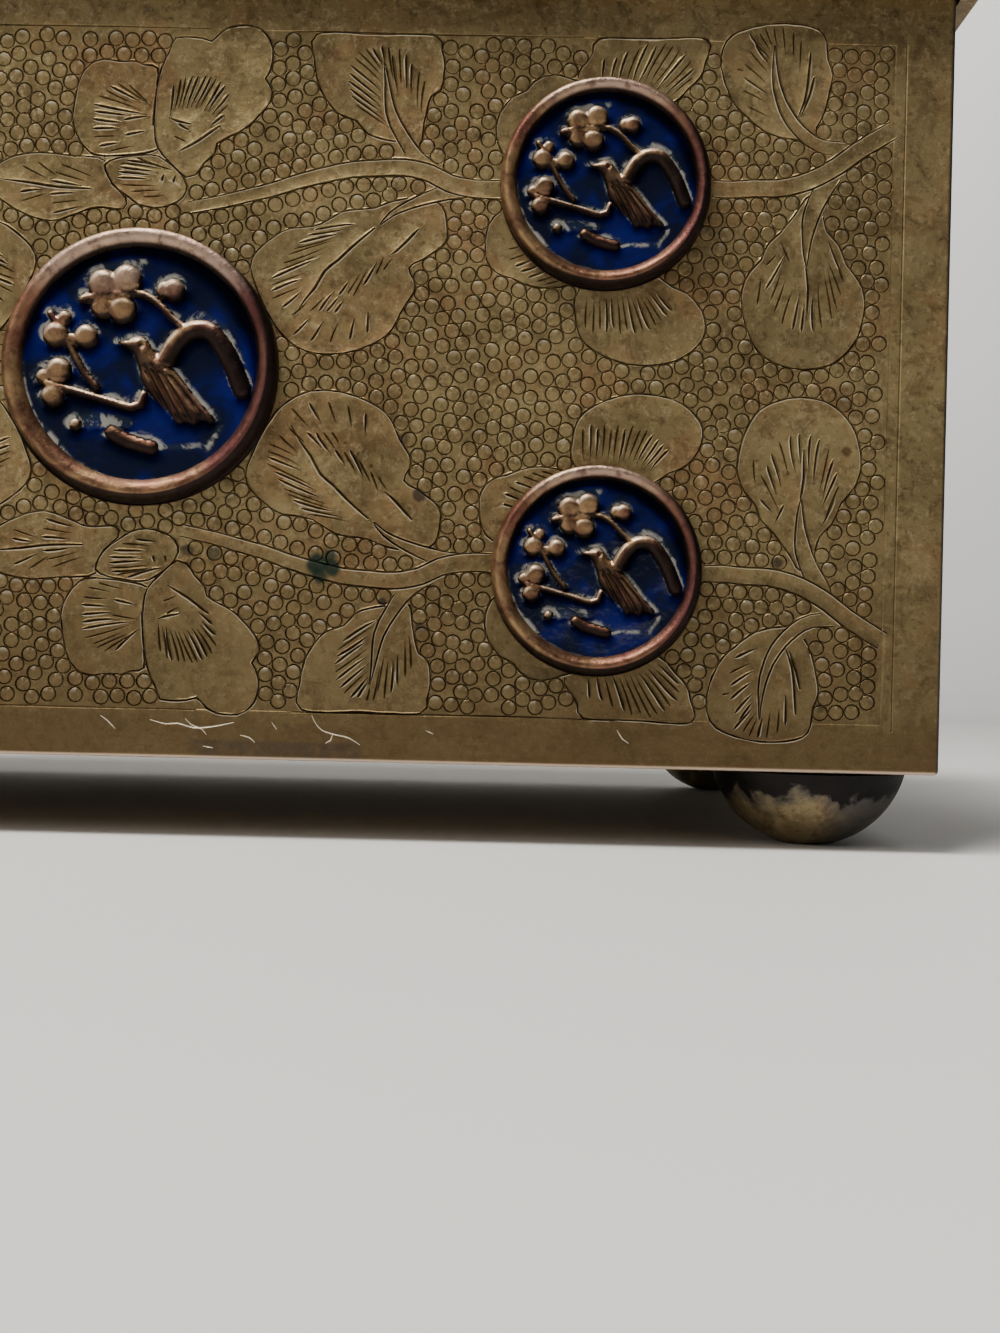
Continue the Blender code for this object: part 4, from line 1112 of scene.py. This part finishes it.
def floor_plate():
    """The box's floor, between its walls."""
    inner_u, inner_v = HALF_W - WALL, HALF_D - WALL
    shape = block(Vector((-inner_u, -inner_v, BODY_Z)) * MM, Vector((inner_u, inner_v, BODY_Z + WALL)) * MM)
    mesh = bpy.data.meshes.new("floor_plate")
    shape.to_mesh(mesh)
    shape.free()
    new_object("floor_plate", mesh, brass("brass_floor", chased=False), "box_body")


floor_plate()

# Figures as shares of the medallion's radius: u to the right, v upwards. A limb is points, a half-width and
# how high it stands, and a petal is its middle, radius and height
LIMBS = [
    ([(-0.42, 0.475), (-0.28, 0.505), (-0.10, 0.52), (0.02, 0.52), (0.13, 0.455), (0.23, 0.355),
      (0.34, 0.27)], 0.026, 0.80),
    ([(0.19, 0.05), (0.25, 0.16), (0.33, 0.25), (0.42, 0.28), (0.51, 0.26), (0.60, 0.15), (0.67, 0.03),
      (0.72, -0.09), (0.745, -0.15)], 0.060, 0.90),
    ([(-0.645, 0.37), (-0.53, 0.19), (-0.41, -0.03), (-0.30, -0.16)], 0.026, 0.75),
    ([(-0.66, -0.135), (-0.45, -0.19), (-0.22, -0.25), (-0.05, -0.295), (0.02, -0.27),
      (0.04, -0.20)], 0.028, 0.78),
    ([(-0.39, -0.42), (-0.24, -0.405), (-0.10, -0.43)], 0.034, 0.30),
    ([(-0.187, -0.477), (-0.07, -0.535), (0.10, -0.58)], 0.050, 0.62),
]
PETAL_BUMPS = [
    (-0.275, 0.590, 0.110, 0.86), (-0.10, 0.625, 0.112, 0.92), (-0.27, 0.425, 0.095, 0.74),
    (-0.13, 0.405, 0.108, 0.82), (-0.19, 0.52, 0.110, 0.66), (-0.385, 0.485, 0.055, 0.55),
    (0.235, 0.553, 0.088, 0.86), (0.175, 0.553, 0.072, 0.74), (-0.605, 0.215, 0.098, 0.88),
    (-0.385, 0.205, 0.092, 0.86), (-0.545, 0.335, 0.060, 0.72), (-0.495, 0.17, 0.070, 0.60),
    (-0.580, -0.045, 0.100, 0.90), (-0.615, -0.225, 0.090, 0.84), (-0.685, -0.09, 0.065, 0.64),
    (-0.605, -0.13, 0.080, 0.55), (-0.45, -0.43, 0.050, 0.68),
]
BIRD = [(-0.165, 0.170), (-0.09, 0.195), (-0.02, 0.225), (0.05, 0.205), (0.10, 0.13), (0.19, 0.05),
    (0.27, -0.03), (0.36, -0.14), (0.46, -0.26), (0.565, -0.375), (0.53, -0.405), (0.45, -0.375),
    (0.415, -0.42), (0.36, -0.395), (0.30, -0.41), (0.25, -0.375), (0.17, -0.29), (0.08, -0.20),
    (0.02, -0.11), (0.00, -0.02), (-0.04, 0.08), (-0.10, 0.135)]
FEATHERS = [((0.06, -0.03), (0.24, -0.36)), ((0.11, -0.02), (0.31, -0.39)), ((0.16, -0.03),
    (0.38, -0.38)), ((0.23, -0.06), (0.49, -0.37))]
# Streaks of old polish on the enamel
POLISH = [((0.44, 0.37), (0.60, 0.28)), ((0.60, 0.28), (0.71, 0.08)), ((0.71, 0.08), (0.79, -0.12)),
    ((-0.68, -0.46), (-0.55, -0.60)), ((0.16, -0.58), (0.44, -0.56)), ((0.60, -0.42), (0.50, -0.58)),
    ((-0.33, 0.66), (0.02, 0.76)), ((-0.36, -0.43), (-0.09, -0.41))]
# The rim's crest as a share of the radius, and heights in millimetres above the plaque's seat
CREST = 0.925
FLOOR_H, ENAMEL_H, TOP_H, BASE_H = 0.25, 0.75, 1.78, -GROUND
FAR = 9.0


def line_gap(spots, line):
    """Each spot's distance from a line."""
    away = np.full(len(spots), FAR)
    for a, b in zip(line, line[1:]):
        away = np.minimum(away, to_segment(spots, np.array(a), np.array(b))[0])
    return away


def figures(spots):
    """How high the copper figures stand at each spot, from 0 to 1, the distance from the nearest one, and
    True on the darker ones: the bird and the branches."""
    height = np.zeros(len(spots))
    dark = np.zeros(len(spots), bool)
    near = np.full(len(spots), FAR)
    for points, half, top in LIMBS:
        away = line_gap(spots, smoothed(points, False, 0.05))
        limb = top * np.clip(1 - (away / (half * 1.25)) ** 2.4, 0, 1) ** 0.45
        dark |= limb > height
        height = np.maximum(height, limb)
        near = np.minimum(near, away - half)
    for u, v, r, top in PETAL_BUMPS:
        away = np.hypot(spots[:, 0] - u, spots[:, 1] - v)
        # A petal leans: its upper edge stands highest
        lean = 1 + 0.10 * (spots[:, 1] - v) / r
        dome = top * lean * np.clip(1 - (away / (r * 1.05)) ** 4.0, 0, 1) ** 0.55
        dark &= dome <= height
        height = np.maximum(height, dome)
        near = np.minimum(near, away - r)
    outline = smoothed(BIRD, True, 0.04)
    away = line_gap(spots, [*outline, outline[0]])
    within = inside(spots, outline)
    body = np.where(within, 0.30 + 0.68 * np.sqrt(np.clip(away / 0.07, 0, 1)), 0.0)
    for feather in FEATHERS:
        body -= within * 0.30 * np.clip(1 - line_gap(spots, feather) / 0.024, 0, 1)
    eye = np.hypot(spots[:, 0] - 0.02, spots[:, 1] - 0.15)
    body -= within * 0.25 * np.clip(1 - eye / 0.03, 0, 1)
    dark |= body > height
    height = np.maximum(height, body)
    near = np.minimum(near, np.where(within, -away, away))
    return np.clip(height, 0, 1), near, dark


def wobble(angles, seed, reach):
    """A slow, uneven wave round a circle, at each angle."""
    draw = random.Random(seed)
    waves = [(k, draw.uniform(0, 6.28)) for k in range(2, 7)]
    return sum(reach / k * np.sin(k * angles + start) for k, start in waves)


def polar(radii, around):
    """A disc's points in rings about its middle, with each one's radius and angle, and its faces."""
    spots = [(0.0, 0.0)]
    faces = [(0, 1 + k, 1 + (k + 1) % around) for k in range(around)]
    for i, r in enumerate(radii):
        spots += circle(around, r, 0.5 * (i % 2))
    for i in range(len(radii) - 1):
        first, second = 1 + i * around, 1 + (i + 1) * around
        for k in range(around):
            a, b = first + k, first + (k + 1) % around
            c, d = second + k, second + (k + 1) % around
            faces += [(a, c, b), (b, c, d)] if i % 2 == 0 else [(a, c, d), (a, d, b)]
    spots = np.array(spots)
    return spots, np.hypot(spots[:, 0], spots[:, 1]), np.arctan2(spots[:, 1], spots[:, 0]), faces


def disc_mesh(name, radius, spots, faces, heights, around, base, attribute, values):
    """Closes a disc's relief with a wall and a flat underside."""
    rim = len(spots) - around
    points = [(x * radius * MM, y * radius * MM, z * MM) for (x, y), z in zip(spots, heights)]
    points += [(x, y, base * MM) for x, y, _ in points[rim:]]
    for k in range(around):
        a, b = rim + k, rim + (k + 1) % around
        faces.append((a, a + around, b + around, b))
    faces.append(tuple(range(rim + around, rim + 2 * around))[::-1])
    mesh = bpy.data.meshes.new(name)
    mesh.from_pydata(points, [], faces)
    made = mesh.attributes.new(attribute, "FLOAT", "POINT")
    made.data.foreach_set("value", [float(v) for v in values] + [0.0] * around)
    mesh.shade_smooth()
    return mesh


def copper_mesh(name, radius, seed):
    """The plaque: a rounded rim, a recess and its figures. Grime gathers low, painted shade lies high in the
    recess, under the figures and on the rim's lower right, and the figures' upper edges get a painted
    highlight.
    """
    around = 216
    radii = [*np.linspace(0.0, 0.79, 46)[1:], *np.linspace(0.80, 1.0, 20)]
    spots, r, angle, faces = polar(radii, around)
    height, _, dark = figures(spots)
    # The plaque's recess lies a little off centre, up and to the right
    shift = wobble(angle, seed, 0.006) + 0.024 * np.cos(angle - 1.40)
    lift = wobble(angle, seed + 1, 0.05)
    offset = r - CREST - shift * (r < 0.99)
    inner = FLOOR_H + (TOP_H - FLOOR_H) * np.clip(1 - np.abs(offset / 0.095) ** 1.9, 0, 1) ** 0.6
    outer = np.clip(1 - np.abs(offset / (1.0 - CREST + 0.001)) ** 2.2, 0, 1) ** (1 / 2.1)
    rim = np.where(offset < 0, inner, BASE_H + (TOP_H - BASE_H) * outer)
    rim = np.minimum(rim + lift * np.clip(1 - np.abs(offset) / 0.06, 0, 1), TOP_H)
    z = FLOOR_H + height * (TOP_H - FLOOR_H)
    z = np.where(r > 0.80, np.maximum(rim, np.where(r < 0.93, z * (height > 0), 0)), z)
    # Painted shadow fills the recess's edge on its upper side, not on its low side, which faces the light;
    # the figures' upper edges get a painted highlight and their lower edges painted shadow
    wall = np.clip((TOP_H - 0.14 - z) / 0.45, 0, 1) * np.clip(0.50 + 0.9 * np.sin(angle + 0.1), 0.0, 1)
    edge = np.clip((height - figures(spots + np.array((-0.010, 0.030)))[0]) / 0.4, 0, 1)
    under = np.clip((height - figures(spots + np.array((0.008, -0.034)))[0]) / 0.45, 0, 1)
    # Low places on the figures gather grime, and the bird and branches are darker, more so to the right
    figure = np.clip((ENAMEL_H + 0.50 - z) / 0.3, 0, 1) + 0.48 * dark + 0.75 * under
    figure += 0.45 * dark * np.clip((spots[:, 0] - 0.45) / 0.2, 0, 1)
    figure -= 1.6 * edge * (z > ENAMEL_H + 0.25)
    inner_side = np.where((r > 0.80) & (rim > z - 1e-6), wall, figure)
    # Painted shade on the rim's outer slope, darkest at the lower right, away from the light
    lowness = np.clip(0.40 + 0.80 * np.cos(angle + 0.95), 0, 1)
    skirt = np.clip((r - 0.970 + 0.060 * lowness) / 0.04, 0, 1) * (0.35 + 0.65 * lowness) + 0.42 * lowness
    grime_and_painted_light = np.where(r < CREST, inner_side, skirt)
    return disc_mesh(name, radius, spots, faces, z, around, BASE_H - 0.01, "grime_and_painted_light", grime_and_painted_light)


def enamel_mesh(name, radius, seed):
    """The enamel's slightly swelling surface, with painted highlight and streaks of old polish above 0 and
    painted shadow below 0.
    """
    around = 128
    spots, r, angle, faces = polar(np.linspace(0.0, 0.868, 46)[1:], around)
    near = figures(spots)[1]
    above = figures(spots + np.array((-0.008, 0.02)))[1]

    def fading(gap, reach):
        return np.exp(-np.clip(gap, 0, FAR) / reach)

    z = ENAMEL_H + 0.05 * fading(near, 0.022) + 0.05 * fading(0.835 - r, 0.022)
    z += 0.05 * np.sin(5 * spots[:, 0] + seed) * np.cos(6 * spots[:, 1])
    # Painted highlight lies above and left of the figures and low on the rim, painted shadow under them and
    # high on the rim, and old polish lies in streaks
    upper = np.clip(0.5 + (above - near) / 0.03, 0, 1)
    dust_and_painted_light = 1.25 * fading(near, 0.030) * (0.08 + 0.92 * upper)
    dust_and_painted_light += 0.9 * fading(0.83 - r, 0.020) * np.clip(-0.1 - 1.1 * np.sin(angle + 0.5), 0, 1)
    painted_shadow = fading(near, 0.045) * (1 - upper)
    painted_shadow += 1.2 * fading(0.83 - r, 0.045) * np.clip(0.45 + 1.1 * np.sin(angle), 0, 1)
    for streak in POLISH:
        dust_and_painted_light += 0.9 * fading(line_gap(spots, streak), 0.022)
    value = np.clip(dust_and_painted_light, 0, 1) - np.clip(painted_shadow, 0, 1) * (dust_and_painted_light < 0.35)
    return disc_mesh(name, radius, spots, faces, z, around, FLOOR_H + 0.05, "dust_and_painted_light", value)


COPPER_LOOK, ENAMEL_LOOK = copper_look(), enamel_look()
SMALL = (copper_mesh("small_copper", SMALL_R, 3), enamel_mesh("small_enamel", SMALL_R, 3))
LARGE = (copper_mesh("large_copper", LARGE_R, 8), enamel_mesh("large_enamel", LARGE_R, 8))


def medallion(name, meshes, origin, right, up):
    for kind, mesh, look in zip(("copper", "enamel"), meshes, (COPPER_LOOK, ENAMEL_LOOK)):
        new_object(f"{name}_{kind}_relief", mesh, look, f"{name}_{kind}", standing(origin, right, up))


medallion("medallion_front_centre", LARGE, (0, -HALF_D, FACE_MID), X, Z)
for vertical, sv in (("lower", -1), ("upper", 1)):
    for horizontal, su in (("left", -1), ("right", 1)):
        medallion(f"medallion_front_{vertical}_{horizontal}", SMALL,
                  (su * SMALL_U, -HALF_D, FACE_MID + sv * SMALL_V), X, Z)
medallion("medallion_right_end", SMALL, (HALF_W, 0, FACE_MID), Y, Z)
medallion("medallion_left_end", SMALL, (-HALF_W, 0, FACE_MID), FORWARDS, Z)
medallion("medallion_lid", LARGE, (0, 0, LID_Z), X, Y)


def foot_mesh():
    """A cast dome, with a slight flat at its lowest place and a soft upper edge."""
    around, rows = 72, 16
    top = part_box("foot_front_right")[1][2] / MM
    start = math.asin(FOOT_FLAT / FOOT_BALL)
    middle = FOOT_BALL * math.cos(start)
    end = math.acos((middle - top) / FOOT_BALL)
    profile = [(FOOT_FLAT / 3, 0.0), (FOOT_FLAT * 2 / 3, 0.0)]
    for k in range(rows + 1):
        a = start + (end - start) * k / rows
        profile.append((FOOT_BALL * math.sin(a), middle - FOOT_BALL * math.cos(a)))
    profile += [(profile[-1][0] - 0.3, top), (profile[-1][0] * 0.5, top)]
    points = [(0.0, 0.0, 0.0)]
    for r, z in profile:
        points += [(x * MM, y * MM, z * MM) for x, y in circle(around, r)]
    points.append((0.0, 0.0, top * MM))
    last = 1 + (len(profile) - 1) * around
    faces = []
    for k in range(around):
        following = (k + 1) % around
        faces += [(0, 1 + following, 1 + k), (len(points) - 1, last + k, last + following)]
        for row in range(1, last, around):
            faces.append((row + k, row + following, row + following + around, row + k + around))
    mesh = bpy.data.meshes.new("foot")
    mesh.from_pydata(points, [], faces)
    mesh.shade_smooth()
    mesh.set_sharp_from_angle(angle=math.radians(50))
    return mesh


FOOT_LOOK = brass("brass_foot", *FOOT_TONES, chased=False, dirt_and_painted_light=foot_painted_light)
FOOT = foot_mesh()
for spot in ("front_left", "front_right", "back_left", "back_right"):
    low, high = (Vector(c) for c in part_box("foot_" + spot))
    place = Matrix.Translation(((low.x + high.x) / 2, (low.y + high.y) / 2, 0.0))
    new_object(f"foot_{spot}_cast", FOOT, FOOT_LOOK, "foot_" + spot, place)


# The floor's half-width, where it starts and bends up behind the box, the bend's radius and the top
FLOOR_HALF, FLOOR_START, BEND_AT, BEND_R, BACKDROP_TOP = 3.0, -1.6, 0.55, 0.5, 2.6


def floor_and_backdrop():
    """A pale floor that curves up into a backdrop, far behind the box."""
    bend = np.linspace(0.12, math.pi / 2, 12)
    section = [(FLOOR_START, 0.0), (BEND_AT, 0.0)]
    section += [(BEND_AT + BEND_R * math.sin(a), BEND_R - BEND_R * math.cos(a)) for a in bend]
    section.append((BEND_AT + BEND_R, BACKDROP_TOP))
    points = [(x, y, z) for y, z in section for x in (-FLOOR_HALF, FLOOR_HALF)]
    faces = [(i, i + 1, i + 3, i + 2) for i in range(0, len(points) - 2, 2)]
    mesh = bpy.data.meshes.new("floor")
    mesh.from_pydata(points, [], faces)
    mesh.shade_smooth()
    look = Look("pale_floor", Specular_IOR_Level=0.2)
    look.tone = look.mix(look.noise(6, 3), *FLOOR_TONES)
    mesh.materials.append(look.finish(0.7))
    obj = bpy.data.objects.new("floor", mesh)
    bpy.context.scene.collection.objects.link(obj)


floor_and_backdrop()


def area_light(name, place, target, size, power, colour=(1.0, 1.0, 1.0)):
    data = bpy.data.lights.new(name, "AREA")
    data.shape = "RECTANGLE"
    data.size, data.size_y = size
    data.energy = power
    data.color = colour
    obj = bpy.data.objects.new(name, data)
    bpy.context.scene.collection.objects.link(obj)
    obj.location = place
    obj.rotation_euler = (Vector(target) - Vector(place)).to_track_quat("-Z", "Y").to_euler()


area_light("key", (-0.15, -0.20, 0.62), (0.02, -0.02, 0.03), (0.32, 0.24), 6.4, (1.0, 0.97, 0.92))
area_light("side_fill", (-0.62, -0.50, 0.45), (0.03, -0.05, 0.04), (0.5, 0.5), 1.6, (1.0, 0.98, 0.95))
area_light("backdrop_light", (0.0, 0.45, 0.90), (0.0, 1.2, 0.95), (0.9, 0.3), 14.0)

world = bpy.data.worlds.new("studio")
bpy.context.scene.world = world
world.use_nodes = True
sky = world.node_tree.nodes["Background"]
sky.inputs["Color"].default_value = (0.95, 0.97, 1.0, 1.0)
sky.inputs["Strength"].default_value = 0.12

# The photo's frame in pixels, how many make a millimetre of the front wall, where the wall's lower right
# corner is, how far the picture is turned, and the camera's distance from the wall and its sensor's width
FRAME_W, FRAME_H, PX_MM = 1000.0, 1333.0, 9.73
CORNER_PX = (939.0, 776.0)
ROLL = math.radians(1.35)
DISTANCE, SENSOR = 0.18, 36.0


def place_camera():
    """Looks straight at the front wall, with the picture's middle where the photo has it."""
    dx, dy = (FRAME_W / 2 - CORNER_PX[0]) / PX_MM, (FRAME_H / 2 - CORNER_PX[1]) / PX_MM
    x = HALF_W + dx * math.cos(ROLL) + dy * math.sin(ROLL)
    z = BODY_Z + dx * math.sin(ROLL) - dy * math.cos(ROLL)
    data = bpy.data.cameras.new("camera")
    data.sensor_fit = "HORIZONTAL"
    data.sensor_width = SENSOR
    data.lens = SENSOR * DISTANCE / (FRAME_W / PX_MM * MM)
    data.clip_start = 0.005
    data.clip_end = 20.0
    camera = bpy.data.objects.new("camera", data)
    bpy.context.scene.collection.objects.link(camera)
    camera.matrix_world = (
        Matrix.Translation((x * MM, -HALF_D * MM - DISTANCE, z * MM))
        @ Matrix.Rotation(math.pi / 2, 4, "X") @ Matrix.Rotation(ROLL, 4, "Z")
    )
    bpy.context.scene.camera = camera


place_camera()
